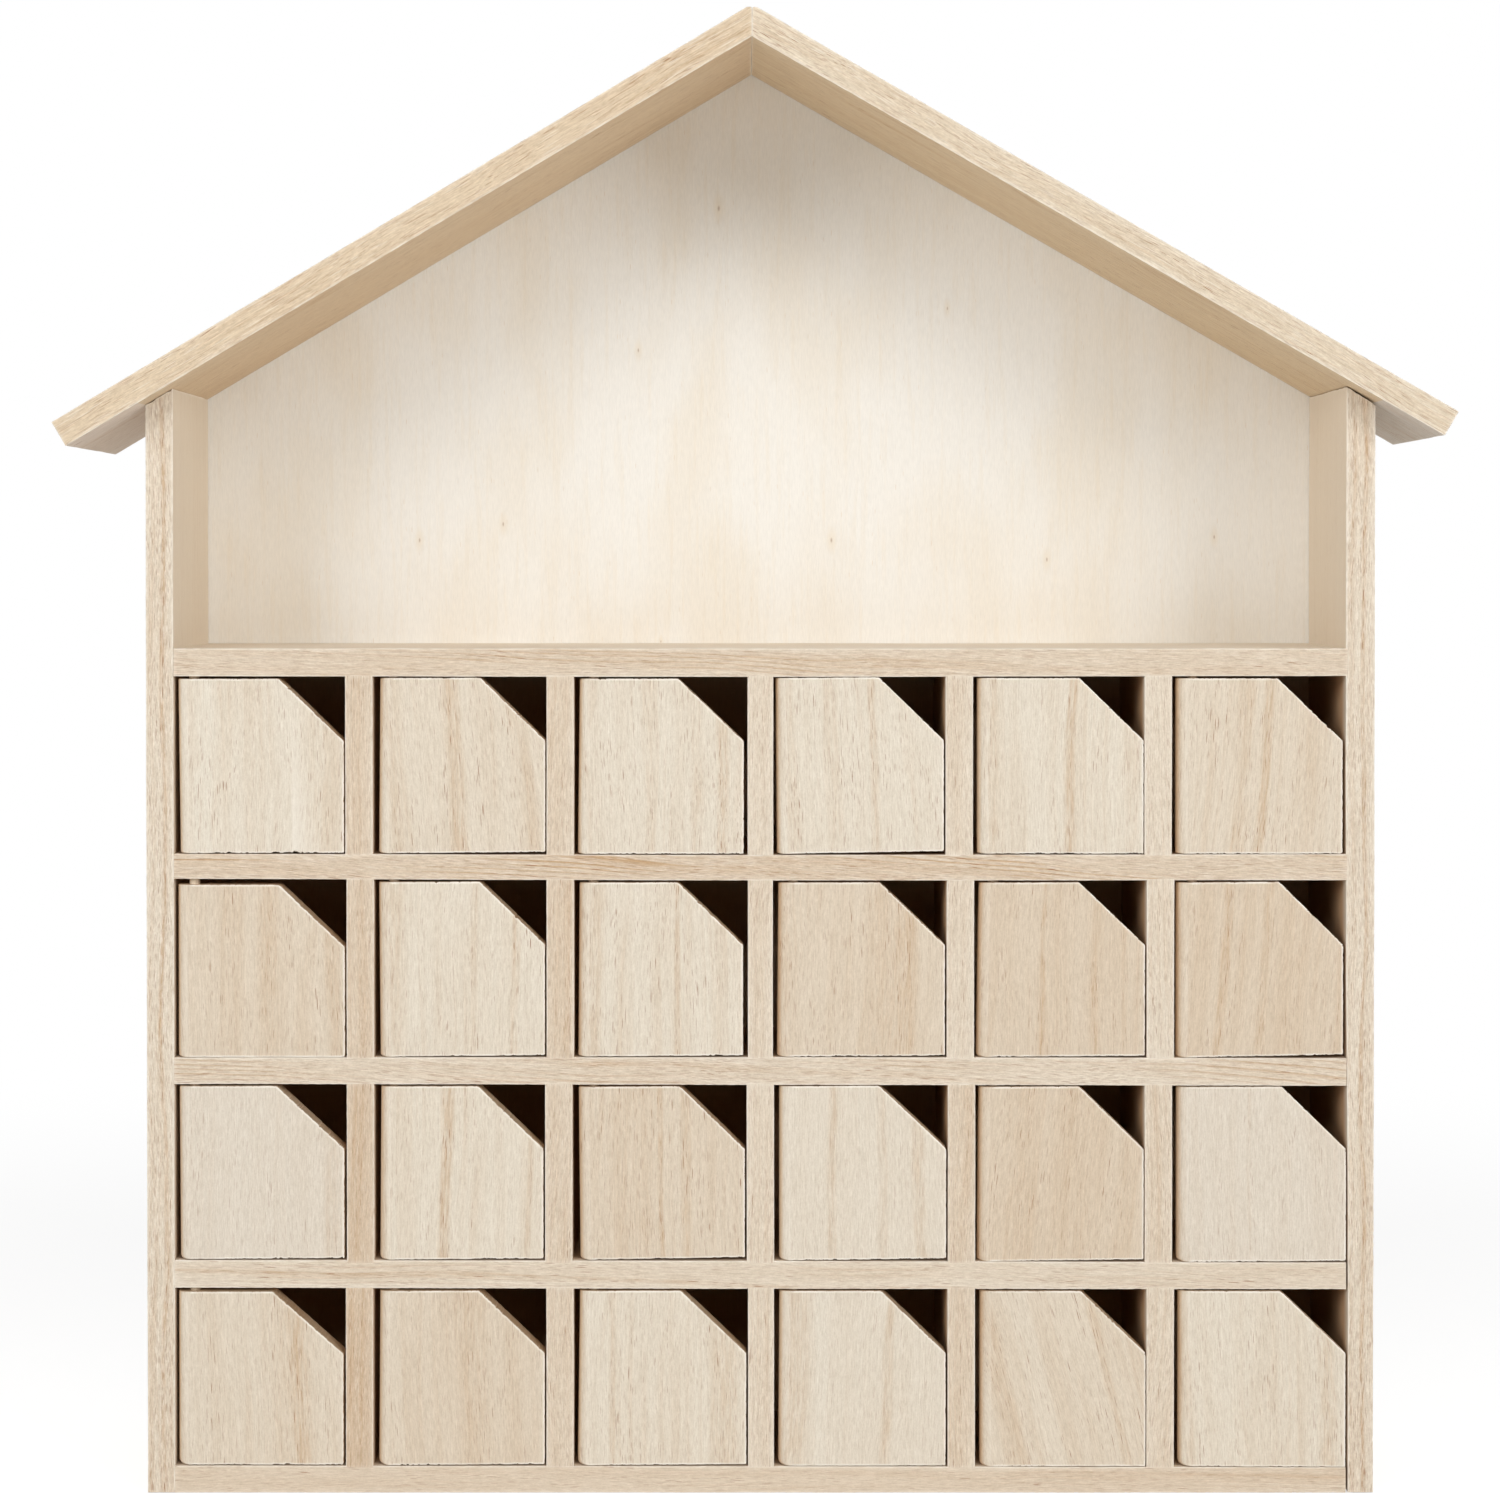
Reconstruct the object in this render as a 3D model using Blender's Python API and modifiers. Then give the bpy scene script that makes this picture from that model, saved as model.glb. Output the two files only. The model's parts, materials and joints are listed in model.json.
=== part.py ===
"""A wooden house-shaped advent calendar: a case of small compartments, each with a door that swings
on dowel pins, under an open attic and a gable roof. Metres, +Z up, the front faces -Y."""

import math

import bmesh
import bpy

# Driving dimensions of the case
ROWS = 4
COLUMNS = 6
OPENING_WIDTH = 0.0504
OPENING_HEIGHT = 0.05175
BOARD_THICKNESS = 0.008
CASE_DEPTH = 0.057
ATTIC_WALL_HEIGHT = 0.071  # from the attic floor to the outer top corner of a side wall
BACK_THICKNESS = 0.003
BACK_LAP = 0.004  # how far the back panel reaches over the back edges of the roof boards

# Driving dimensions of the roof
RIDGE_RISE = 0.1053  # from the outer top corners of the walls to the underside of the ridge
RIDGE_OFFSET = -0.0025  # the ridge stands this far from the middle of the case
ROOF_THICKNESS = 0.008
ROOF_LENGTH = 0.2345  # along the outer face, from the ridge to the eave
ROOF_OVERHANG = 0.0105  # how far the roof stands out in front of the case
RIDGE_BLUNTING = 0.0016  # how far down the outer faces the sharp ridge is sanded off
LEFT_STANDOFF = 0.0  # how far each roof board stands off the outer top edge of its wall
RIGHT_STANDOFF = 0.0008

# Driving dimensions of the doors
DOOR_THICKNESS = 0.006
DOOR_HINGE_GAP = 0.0014
DOOR_LATCH_GAP = 0.0006
DOOR_TOP_GAP = 0.0006
DOOR_BOTTOM_GAP = 0.0004
GRIP_CUT_WIDTH = 0.019  # the sawn-off corner, along the top edge
GRIP_CUT_HEIGHT = 0.018  # and down the free edge
PIVOT_INSET = 0.00425  # from the rounded edge of the door to the middle of its pins
PIN_DIAMETER = 0.003
PIN_REACH = 0.0025  # how deep each pin stands in its board

# Clearances
SEAT_GAP = 0.0003  # between glued faces
PIN_CLEARANCE = 0.0003  # round a pin and past its end

# Fineness of round shapes
DOOR_EDGE_SEGMENTS = 8
PIN_SIDES = 12
HOLE_SIDES = 16

# Sizes that follow from these
CASE_WIDTH = COLUMNS * OPENING_WIDTH + (COLUMNS + 1) * BOARD_THICKNESS
COLUMN_PITCH = OPENING_WIDTH + BOARD_THICKNESS
ROW_PITCH = OPENING_HEIGHT + BOARD_THICKNESS
INNER_LEFT = BOARD_THICKNESS - CASE_WIDTH / 2
ATTIC_FLOOR_TOP = BOARD_THICKNESS + ROWS * ROW_PITCH
WALL_TOP = ATTIC_FLOOR_TOP + ATTIC_WALL_HEIGHT
RIDGE_UNDERSIDE = WALL_TOP + RIDGE_RISE
DOOR_WIDTH = OPENING_WIDTH - DOOR_HINGE_GAP - DOOR_LATCH_GAP
DOOR_HEIGHT = OPENING_HEIGHT - DOOR_TOP_GAP - DOOR_BOTTOM_GAP
PIVOT_FROM_LEFT = DOOR_HINGE_GAP + PIVOT_INSET
PIVOT_DEPTH = DOOR_THICKNESS / 2
LEFT, RIGHT = -1, 1
STANDOFF = {LEFT: LEFT_STANDOFF, RIGHT: RIGHT_STANDOFF}


def clear_scene():
    for item in list(bpy.data.objects):
        bpy.data.objects.remove(item, do_unlink=True)


def new_collection(name):
    collection = bpy.data.collections.new(name)
    bpy.context.scene.collection.children.link(collection)
    return collection


def wood(name, colour, roughness):
    material = bpy.data.materials.new(name)
    material.use_nodes = True
    shader = material.node_tree.nodes["Principled BSDF"]
    shader.inputs["Base Color"].default_value = (*colour, 1.0)
    shader.inputs["Roughness"].default_value = roughness
    shader.inputs["Metallic"].default_value = 0.0
    return material


def add(item, material=None, collection=None, parent=None):
    """Puts an object in its collection, under its parent, with its material."""
    for holder in list(item.users_collection):
        holder.objects.unlink(item)
    (collection or PARTS).objects.link(item)
    item.parent = parent
    if material and not item.data.materials:
        item.data.materials.append(material)
    return item


def add_cutter(item):
    add(item, collection=CUTTERS, parent=case)
    item.display_type = "WIRE"
    item.hide_render = True
    return item


def box_board(name, low, size, material):
    """A board with square corners, from its lowest corner and its size."""
    centre = [a + b / 2 for a, b in zip(low, size)]
    bpy.ops.mesh.primitive_cube_add(size=1, location=centre)
    board = bpy.context.object
    board.name = board.data.name = name
    for vertex in board.data.vertices:
        vertex.co = [a * b for a, b in zip(vertex.co, size)]
    return add(board, material, parent=case)


def flat_curve(name, points, thickness):
    """A closed outline in the local XY plane, filled and given a thickness about that plane."""
    curve = bpy.data.curves.new(name, "CURVE")
    curve.dimensions = "2D"
    curve.fill_mode = "BOTH"
    curve.extrude = thickness / 2
    spline = curve.splines.new("POLY")
    spline.points.add(len(points) - 1)
    for point, (x, y) in zip(spline.points, points):
        point.co = (x, y, 0, 1)
    spline.use_cyclic_u = True
    return bpy.data.objects.new(name, curve)


def outline_board(name, points, front, depth, material):
    """A board cut to an outline of (x, z) points in the front view, running back from front."""
    board = flat_curve(name, points, depth)
    board.rotation_euler.x = math.pi / 2
    board.location.y = front + depth / 2
    return add(board, material, parent=case)


def mesh_from(item, name):
    """A plain mesh of an object with its modifiers applied and its loose caps welded."""
    graph = bpy.context.evaluated_depsgraph_get()
    mesh = bpy.data.meshes.new_from_object(item.evaluated_get(graph))
    mesh.name = name
    bm = bmesh.new()
    bm.from_mesh(mesh)
    bmesh.ops.remove_doubles(bm, verts=bm.verts, dist=1e-6)
    bmesh.ops.recalc_face_normals(bm, faces=bm.faces)
    bm.to_mesh(mesh)
    bm.free()
    return mesh


def roof_pitch(side):
    """The slope of one roof board, from the ridge to the outer top edge of its wall."""
    return math.atan2(RIDGE_RISE - STANDOFF[side], CASE_WIDTH / 2 - side * RIDGE_OFFSET)


def under_roof(side, x, offset=0.0):
    """The height of a roof board's underside at x, moved square to the slope by offset."""
    pitch = roof_pitch(side)
    return RIDGE_UNDERSIDE - abs(x - RIDGE_OFFSET) * math.tan(pitch) + offset / math.cos(pitch)


def roof_outline(side):
    """The mitred outline of one roof board, from the ridge seam round to the seam again."""
    pitch = roof_pitch(side)
    along = (side * math.cos(pitch), -math.sin(pitch))
    outward = (side * math.sin(pitch), math.cos(pitch))
    seam_x = RIDGE_OFFSET + side * SEAT_GAP / 2
    ridge = (seam_x, under_roof(side, seam_x, ROOF_THICKNESS))

    def on_outer_face(distance):
        return (ridge[0] + distance * along[0], ridge[1] + distance * along[1])

    eave = on_outer_face(ROOF_LENGTH)
    inner_eave = (eave[0] - ROOF_THICKNESS * outward[0], eave[1] - ROOF_THICKNESS * outward[1])
    return [
        (seam_x, under_roof(side, seam_x)),
        (seam_x, ridge[1] - RIDGE_BLUNTING * math.sin(pitch)),
        on_outer_face(RIDGE_BLUNTING),
        eave,
        inner_eave,
    ]


def side_wall(name, side):
    """A side wall. Its sloped top carries the roof board at the inner face, or all across."""
    inner = side * (CASE_WIDTH / 2 - BOARD_THICKNESS)
    outer = side * CASE_WIDTH / 2
    points = [
        (inner, 0),
        (outer, 0),
        (outer, under_roof(side, outer, -SEAT_GAP) - STANDOFF[side]),
        (inner, under_roof(side, inner, -SEAT_GAP)),
    ]
    return outline_board(name, points, 0, CASE_DEPTH, CASE_WOOD)


def back_panel():
    """The thin panel behind the whole house, up to the middle of the roof boards' edges."""
    side_x = CASE_WIDTH / 2
    points = [
        (-side_x, 0),
        (side_x, 0),
        (side_x, under_roof(RIGHT, side_x, BACK_LAP)),
        (RIDGE_OFFSET, under_roof(RIGHT, RIDGE_OFFSET, BACK_LAP)),
        (-side_x, under_roof(LEFT, -side_x, BACK_LAP)),
    ]
    return outline_board("back_panel", points, CASE_DEPTH + SEAT_GAP, BACK_THICKNESS, PLYWOOD)


def pin_holes(name, mouth_z, direction):
    """A row of cutters for the pin holes of one face of a board; direction points into the board."""
    depth = PIN_REACH + PIN_CLEARANCE
    bpy.ops.mesh.primitive_cylinder_add(
        vertices=HOLE_SIDES,
        radius=PIN_DIAMETER / 2 + PIN_CLEARANCE,
        depth=2 * depth,
        location=(INNER_LEFT + PIVOT_FROM_LEFT, PIVOT_DEPTH, mouth_z),
    )
    cutter = bpy.context.object
    cutter.name = f"{name}_holes_{'up' if direction > 0 else 'down'}"
    copies = cutter.modifiers.new("columns", "ARRAY")
    copies.count = COLUMNS
    copies.use_relative_offset = False
    copies.use_constant_offset = True
    copies.constant_offset_displace = (COLUMN_PITCH, 0, 0)
    return add_cutter(cutter)


def shelf_board(name, level):
    """A board between the side walls. Level 0 is the base, and level ROWS is the attic floor."""
    low_z = level * ROW_PITCH
    low = (INNER_LEFT + SEAT_GAP, 0, low_z)
    size = (CASE_WIDTH - 2 * BOARD_THICKNESS - 2 * SEAT_GAP, CASE_DEPTH, BOARD_THICKNESS)
    board = box_board(name, low, size, CASE_WOOD)
    cutters = []
    if level > 0:
        cutters.append(pin_holes(name, low_z, 1))
    if level < ROWS:
        cutters.append(pin_holes(name, low_z + BOARD_THICKNESS, -1))
    for cutter in cutters:
        drill = board.modifiers.new(cutter.name, "BOOLEAN")
        drill.operation = "DIFFERENCE"
        drill.object = cutter
    return board


def divider(row, number):
    """A short upright between two shelves. Row 1 is the top row, and number 1 is at the left."""
    x = INNER_LEFT + number * COLUMN_PITCH - BOARD_THICKNESS
    z = ATTIC_FLOOR_TOP - row * ROW_PITCH + SEAT_GAP
    size = (BOARD_THICKNESS, CASE_DEPTH, OPENING_HEIGHT - 2 * SEAT_GAP)
    return box_board(f"divider_row{row}_{number}", (x, 0, z), size, CASE_WOOD)


def door_plan():
    """The door seen from above, about its pivot: a plate whose hinge edge is a half round."""
    radius = DOOR_THICKNESS / 2
    centre_x = radius - PIVOT_INSET
    free_x = DOOR_WIDTH - PIVOT_INSET
    points = [(free_x, -radius), (free_x, radius)]
    for step in range(DOOR_EDGE_SEGMENTS + 1):
        angle = math.pi / 2 + math.pi * step / DOOR_EDGE_SEGMENTS
        points.append((centre_x + radius * math.cos(angle), radius * math.sin(angle)))
    return points


def saw_grip_corner(mesh):
    """Cuts the upper free corner off a door plate that stands centred on its pivot axis."""
    bm = bmesh.new()
    bm.from_mesh(mesh)
    geometry = bm.verts[:] + bm.edges[:] + bm.faces[:]
    corner_x = DOOR_WIDTH - PIVOT_INSET
    cut = bmesh.ops.bisect_plane(
        bm,
        geom=geometry,
        plane_co=(corner_x, 0, DOOR_HEIGHT / 2 - GRIP_CUT_HEIGHT),
        plane_no=(GRIP_CUT_HEIGHT, 0, GRIP_CUT_WIDTH),
        clear_outer=True,
    )
    edges = [item for item in cut["geom_cut"] if isinstance(item, bmesh.types.BMEdge)]
    bmesh.ops.edgeloop_fill(bm, edges=edges)
    bmesh.ops.recalc_face_normals(bm, faces=bm.faces)
    bm.to_mesh(mesh)
    bm.free()


def door_mesh():
    """One door with its two pins, centred on the pivot axis at the middle of the door's height."""
    blank = add(flat_curve("door_blank", door_plan(), DOOR_HEIGHT), DOOR_WOOD)
    plate = add(bpy.data.objects.new("door_plate", mesh_from(blank, "door_plate")))
    saw_grip_corner(plate.data)
    top = DOOR_HEIGHT / 2 + DOOR_TOP_GAP + PIN_REACH
    bottom = -DOOR_HEIGHT / 2 - DOOR_BOTTOM_GAP - PIN_REACH
    bpy.ops.mesh.primitive_cylinder_add(
        vertices=PIN_SIDES,
        radius=PIN_DIAMETER / 2,
        depth=top - bottom,
        location=(0, 0, (top + bottom) / 2),
    )
    dowel = bpy.context.object
    joint = plate.modifiers.new("pins", "BOOLEAN")
    joint.operation = "UNION"
    joint.object = dowel
    mesh = mesh_from(plate, "door")
    mesh.shade_smooth()
    mesh.set_sharp_from_angle(angle=math.radians(30))
    for helper in (blank, plate, dowel):
        bpy.data.objects.remove(helper, do_unlink=True)
    return mesh


def door(number, mesh):
    """Door number, counted along the rows from the upper left, with its origin on its pivot."""
    row, column = divmod(number - 1, COLUMNS)
    shelf_top = ATTIC_FLOOR_TOP - (row + 1) * ROW_PITCH
    item = add(bpy.data.objects.new(f"door_{number:02d}", mesh), parent=case)
    item.location = (
        INNER_LEFT + column * COLUMN_PITCH + PIVOT_FROM_LEFT,
        PIVOT_DEPTH,
        shelf_top + DOOR_BOTTOM_GAP + DOOR_HEIGHT / 2,
    )
    return item


def case_origin():
    """An empty that puts the middle of the house's footprint on the world's origin."""
    eaves = [roof_outline(side)[3][0] for side in (LEFT, RIGHT)]
    back = CASE_DEPTH + SEAT_GAP + BACK_THICKNESS
    origin = bpy.data.objects.new("calendar_origin", None)
    origin.location = (-sum(eaves) / 2, (ROOF_OVERHANG - back) / 2, 0)
    PARTS.objects.link(origin)
    return origin


clear_scene()
PARTS = new_collection("advent_calendar_house")
CUTTERS = new_collection("cutters")
CASE_WOOD = wood("case_wood", (0.80, 0.68, 0.52), 0.75)
ROOF_WOOD = wood("roof_wood", (0.78, 0.66, 0.50), 0.75)
DOOR_WOOD = wood("door_wood", (0.84, 0.74, 0.60), 0.70)
PLYWOOD = wood("back_plywood", (0.80, 0.67, 0.49), 0.65)
case = case_origin()

for wall_name, wall_side in (("left_wall", LEFT), ("right_wall", RIGHT)):
    side_wall(wall_name, wall_side)

shelf_board("base_board", 0)
for shelf_level in range(1, ROWS):
    shelf_board(f"shelf_{ROWS - shelf_level}", shelf_level)
shelf_board("attic_floor", ROWS)

for divider_row in range(1, ROWS + 1):
    for divider_number in range(1, COLUMNS):
        divider(divider_row, divider_number)

for roof_name, roof_side in (("roof_left", LEFT), ("roof_right", RIGHT)):
    roof_depth = ROOF_OVERHANG + CASE_DEPTH
    outline_board(roof_name, roof_outline(roof_side), -ROOF_OVERHANG, roof_depth, ROOF_WOOD)

back_panel()

shared_door = door_mesh()
for door_number in range(1, ROWS * COLUMNS + 1):
    door(door_number, shared_door)
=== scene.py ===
import itertools
import json
import math

import bmesh
import bpy
import numpy as np
from mathutils import Matrix, Vector


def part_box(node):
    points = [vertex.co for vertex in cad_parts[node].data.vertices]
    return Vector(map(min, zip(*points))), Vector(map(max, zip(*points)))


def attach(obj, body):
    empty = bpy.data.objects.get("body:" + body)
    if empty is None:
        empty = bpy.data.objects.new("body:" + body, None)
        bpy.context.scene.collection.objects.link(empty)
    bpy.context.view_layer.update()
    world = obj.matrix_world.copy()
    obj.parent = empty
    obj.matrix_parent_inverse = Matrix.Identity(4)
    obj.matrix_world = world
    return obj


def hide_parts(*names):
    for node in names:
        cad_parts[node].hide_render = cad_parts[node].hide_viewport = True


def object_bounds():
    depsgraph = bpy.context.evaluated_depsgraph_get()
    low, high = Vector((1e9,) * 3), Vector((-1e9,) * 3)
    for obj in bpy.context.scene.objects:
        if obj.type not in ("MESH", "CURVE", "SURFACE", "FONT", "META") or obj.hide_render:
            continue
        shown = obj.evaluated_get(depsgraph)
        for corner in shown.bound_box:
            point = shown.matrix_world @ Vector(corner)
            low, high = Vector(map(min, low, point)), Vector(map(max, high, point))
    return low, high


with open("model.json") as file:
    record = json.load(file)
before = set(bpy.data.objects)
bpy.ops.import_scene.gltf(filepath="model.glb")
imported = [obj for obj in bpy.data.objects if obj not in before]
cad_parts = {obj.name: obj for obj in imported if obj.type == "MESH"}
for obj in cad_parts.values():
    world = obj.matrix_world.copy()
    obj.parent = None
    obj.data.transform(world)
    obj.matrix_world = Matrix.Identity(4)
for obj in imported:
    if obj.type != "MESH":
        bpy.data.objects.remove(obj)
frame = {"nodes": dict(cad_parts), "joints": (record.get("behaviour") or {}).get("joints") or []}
cad_low, cad_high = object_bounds()

# The house calendar in bare wood. Boards are grid boxes fitted to their nodes, with broken edges and
# small chips. Doors are built ring by ring round their outline. Metres, +Z up, the front faces -Y.

MM = 0.001
ROWS, COLUMNS = 4, 6
HOUSE = "house"

# Working of the boards
SAWN_ARRIS = 0.13 * MM  # radius of an edge straight off the saw
RAG_DEPTH = 0.28 * MM  # fine unevenness of a sawn edge
RAG_LENGTH = 0.8 * MM
CHIP_DEPTH = 0.55 * MM
CHIP_LENGTH = 2.0 * MM  # along the grain
FACE_WANDER = 0.05 * MM
CAD_GLUE_GAP = 0.30 * MM  # between the nodes of glued boards, closed here
SEAM_SHARE = 0.49  # how much of the ridge's seam each roof board closes
GRID_STEP = 0.55 * MM
WALL_TOP_RAG = 0.6 * MM

# Doors: sizes in metres
HINGE_RADIUS = 3.0 * MM  # the rounded hinge edge, half the door's thickness
DOOR_ARRIS = 0.14 * MM
DOOR_STEP = 0.30 * MM  # spacing of the points round a door
CAP_BORDER = 0.7 * MM
PIN_RADIUS = 1.5 * MM
PIN_IN_DOOR = 6.0 * MM
GRIP_HEIGHT = 18.2 * MM

# Doors: how each hangs in its opening, in millimetres. The hinge gap is at the upper end.
USUAL_HINGE_GAP = 1.4
HINGE_GAPS = {1: 1.0, 2: 2.0, 3: 1.6, 4: 0.7, 5: 1.3, 6: 1.4, 7: 0.9, 8: 1.2, 9: 1.5, 10: 1.6, 11: 1.5,
              12: 0.8, 13: 1.1, 14: 1.8, 15: 1.7, 16: 1.5, 17: 1.1, 18: 1.5, 19: 0.8, 20: 1.8, 21: 1.7,
              22: 1.6, 23: 1.5, 24: 1.4}
HINGE_LEANS = {1: 0.6, 2: -0.4, 3: -0.6, 4: 0.4, 8: 0.4, 9: -0.4, 10: -0.4, 11: -0.8, 13: 0.3, 14: -0.4,
               15: 0.5, 17: -0.5, 20: -0.4, 21: -0.7, 22: -0.4}
USUAL_LATCH_GAP = 0.5
LATCH_GAPS = {1: 0.35, 2: 0.35, 3: 1.1, 5: 0.25, 6: 0.95, 9: 1.4, 12: 0.9, 13: 0.75, 17: 0.3, 19: 0.7,
              22: 0.55, 23: 0.3, 24: 0.7}
USUAL_TOP_GAP = 0.6
TOP_GAPS = {1: 0.85, 3: 0.8, 6: 0.7, 7: 1.2, 8: 0.45, 13: 0.4, 14: 0.45, 16: 0.4, 19: 0.8}
USUAL_RISE = 0.35  # how much higher the free lower corner stands than the hinge one
RISES = {1: 0.1, 3: 0.0, 4: 0.8, 5: 0.0, 6: 0.0, 7: 0.0, 8: 0.5, 12: 0.9, 15: 0.8, 16: 0.6, 17: 0.6,
         19: 0.0, 22: 0.1, 23: 0.1, 24: -0.2}
USUAL_GRIP_WIDTH = 19.0
GRIP_WIDTHS = {19: 20.6, 16: 19.6, 13: 19.8}
RAGGED_BELOW = {1: 2.0, 4: 0.5, 5: 1.6, 7: 0.5, 10: 1.6, 14: 1.6, 15: 1.5, 19: 1.8, 22: 0.6, 23: 0.5, 24: 1.5}

# How far single boards stand off their even places, in millimetres, to the right and up
DIVIDER_SHIFTS = {(1, 1): -0.35, (1, 4): -0.35, (1, 5): -0.75, (3, 2): -0.5, (3, 4): 0.4, (3, 5): -0.5,
                  (4, 1): -0.4, (4, 2): -0.15, (4, 3): 0.2, (4, 4): 0.35, (4, 5): 0.15}
THIN_DIVIDERS = {(1, 3): 0.25, (2, 3): 0.35, (4, 3): 0.2}  # taken off each side
SHELF_TOPS = {"shelf_1": (-0.2, -0.55, -0.3), "shelf_2": (0.0, 0.1, -0.2), "shelf_3": (0.45, 0.2, -0.3),
              "base_board": (-0.1, -0.3, -0.6)}  # at the left end, the middle and the right end
SHELF_UNDERSIDES = {"attic_floor": (-0.1, -0.3, 0.0), "shelf_1": (0.5, 0.0, 0.1),
                    "shelf_2": (0.25, 0.0, -0.25), "shelf_3": (0.35, 0.0, -0.1)}
RIGHT_WALL_LEAN = ((0.03, 0.6), (0.09, 0.45), (0.15, -0.15), (0.21, -0.4), (0.25, -0.4))  # height in metres

# Doors: the grain. A slant in degrees, and streaks as (place from the middle, half width, strength).
DOOR_SLANTS = {2: -5.0, 6: 4.0, 11: 1.5, 12: 3.5, 17: 5.5, 19: -3.0, 20: -2.0, 22: 2.5, 23: -14.0, 24: -2.0}
STREAKS = {
    1: ((18, 5, 0.30), (-2, 3, 0.20), (-16, 4, -0.30)),
    2: ((-2, 2.6, 0.75), (-21, 2, 0.5), (17, 4, 0.25)),
    3: ((-4, 1.4, 0.40), (18.5, 1.8, 0.7), (10.6, 1.8, 0.35)),
    4: ((4, 1.4, 0.6), (-8, 2, 0.35), (-20, 1.5, 0.4)),
    5: ((3.6, 1.5, 0.9), (-21, 2.5, 0.45), (21, 2, 0.35)),
    6: ((-5, 2.6, 0.55), (1.5, 1.4, 0.85), (14, 6, 0.2)),
    7: ((2, 3.5, 0.45), (-9, 3, 0.3), (21, 2, 0.45)),
    8: ((-21, 4, 0.40), (4, 1, 0.4), (15.5, 1, 0.6)),
    9: ((4.4, 1, 0.7), (-20, 4, 0.45), (17, 2, 0.15)),
    10: ((12.5, 3.5, 0.75), (5, 4, 0.4), (-22, 2, 0.4)),
    11: ((-5, 0.8, 0.8), (10, 1.2, 0.6), (19, 1, 0.4)),
    12: ((-11, 1.5, 0.75), (1, 1.5, 0.6), (10, 4, 0.25)),
    13: ((21, 2.5, 0.35), (-24, 1, 0.3), (0, 9, -0.1)),
    14: ((-4, 1.8, 0.85), (20, 0.9, 0.5), (-22, 1, 0.5)),
    15: ((-8.5, 8, 0.35), (0, 0.8, 0.8), (7.5, 1.5, 0.65)),
    16: ((-8.7, 1.2, 0.6), (5.5, 1.5, 0.4), (16.5, 2, 0.55)),
    17: ((4, 7, 0.3), (-12, 4, 0.3), (20, 3, 0.3)),
    18: ((-3.5, 0.5, 0.3), (-23, 1.5, 0.3), (18, 5, 0.12)),
    19: ((9, 7, 0.35), (11, 2.4, 0.5), (-14, 2, 0.2)),
    20: ((4, 5, 0.45), (-19, 1.8, -0.4), (16, 3, 0.2)),
    21: ((-14, 1, 0.5), (19, 4, 0.5), (2, 3, 0.12)),
    22: ((-20, 4, 0.5), (7.5, 1.5, 0.6), (-12, 2, -0.3)),
    23: ((-8, 3, -0.45), (12, 1.2, 0.6), (-18, 3, 0.4)),
    24: ((18, 2.5, 0.55), (-22, 1.5, 0.45), (4, 6, 0.12)),
}
WARMER_DOORS = {2: 0.10, 6: 0.16, 7: 0.22, 10: 0.25, 11: 0.32, 12: 0.34, 15: 0.22, 17: 0.34, 19: 0.12,
                20: 0.22, 23: 0.16}
GREYER_DOORS = {13: 0.6, 18: 0.6, 16: 0.2, 22: 0.2}


def srgb(red, green, blue):
    """A colour written as on a colour card, 0 to 255, as the linear values that nodes take."""
    def linear(value):
        value /= 255
        return value / 12.92 if value <= 0.04045 else ((value + 0.055) / 1.055) ** 2.4
    return (linear(red), linear(green), linear(blue), 1.0)


# Shades of the bare wood, and colours that paint light and shade on it
DOOR_PALE = srgb(229, 219, 202)
DOOR_WARM = srgb(198, 165, 127)
DOOR_GREY = srgb(222, 211, 196)
CASE_PALE = srgb(227, 214, 195)
CASE_WARM = srgb(196, 162, 124)
ROOF_PALE = {-1: srgb(222, 202, 174), 1: srgb(226, 211, 188)}
ROOF_WARM = srgb(198, 165, 126)
PORE_BROWN = srgb(150, 90, 44)
TORN_CREAM = srgb(246, 238, 225)
# pale arrises: torn fibres in part, painted highlight in part
ARRIS_FIBRES_AND_HIGHLIGHT = srgb(255, 248, 236)
END_GRAIN = (0.70, 0.665, 0.62, 1.0)
EAVE_PAINTED_BOUNCE_LIGHT = {-1: (1.08, 1.14, 1.34, 1.0), 1: (0.95, 1.01, 1.16, 1.0)}  # painted cool bounce light on the eaves' undersides outside the walls
# painted shade: the roof's undersides between the walls darker and warmer
UNDER_ROOF_PAINTED_SHADE = {-1: (1.0, 0.97, 0.93, 1.0), 1: (0.96, 0.90, 0.80, 1.0)}
ATTIC_TOP_PAINTED_LIGHT = (1.10, 1.17, 1.26, 1.0)  # painted light: the attic floor's upper face made paler and cooler
# painted shade, darkening the wood inside the closed compartments
INSIDE_SHADE = (0.86, 0.64, 0.46, 1.0)
# painted shade on the doors' narrow sides, in the gaps round them
DOOR_SIDE_SHADE = (0.92, 0.80, 0.68, 1.0)
VENEER_PALE = srgb(242, 238, 230)
VENEER_WARM = srgb(228, 208, 174)
VENEER_FLECK = srgb(205, 170, 122)
KNOT_BROWN = srgb(150, 105, 60)
PIN_PALE = srgb(236, 220, 196)
PIN_WARM = srgb(216, 190, 156)

SHELF_BELOW = {1: "shelf_1", 2: "shelf_2", 3: "shelf_3", 4: "base_board"}
SHELF_WARMTH = {"attic_floor": 0.18, "shelf_1": 0.28, "shelf_2": 0.04, "shelf_3": 0.0, "base_board": 0.18}
SHELF_FIGURE = {"shelf_1": 0.9, "attic_floor": 0.45, "shelf_2": 0.5, "shelf_3": 0.25, "base_board": 0.2}

# Dividers whose wood is warmer than the rest, by row and place
WARM_DIVIDERS = {(1, 1): 0.5, (2, 1): 0.65, (3, 1): 1.0, (4, 1): 1.1, (1, 2): 0.35, (2, 2): 0.6,
                 (3, 2): 0.35, (4, 2): 0.3, (1, 4): 0.1, (3, 4): 0.5, (4, 4): 0.3}

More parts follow.
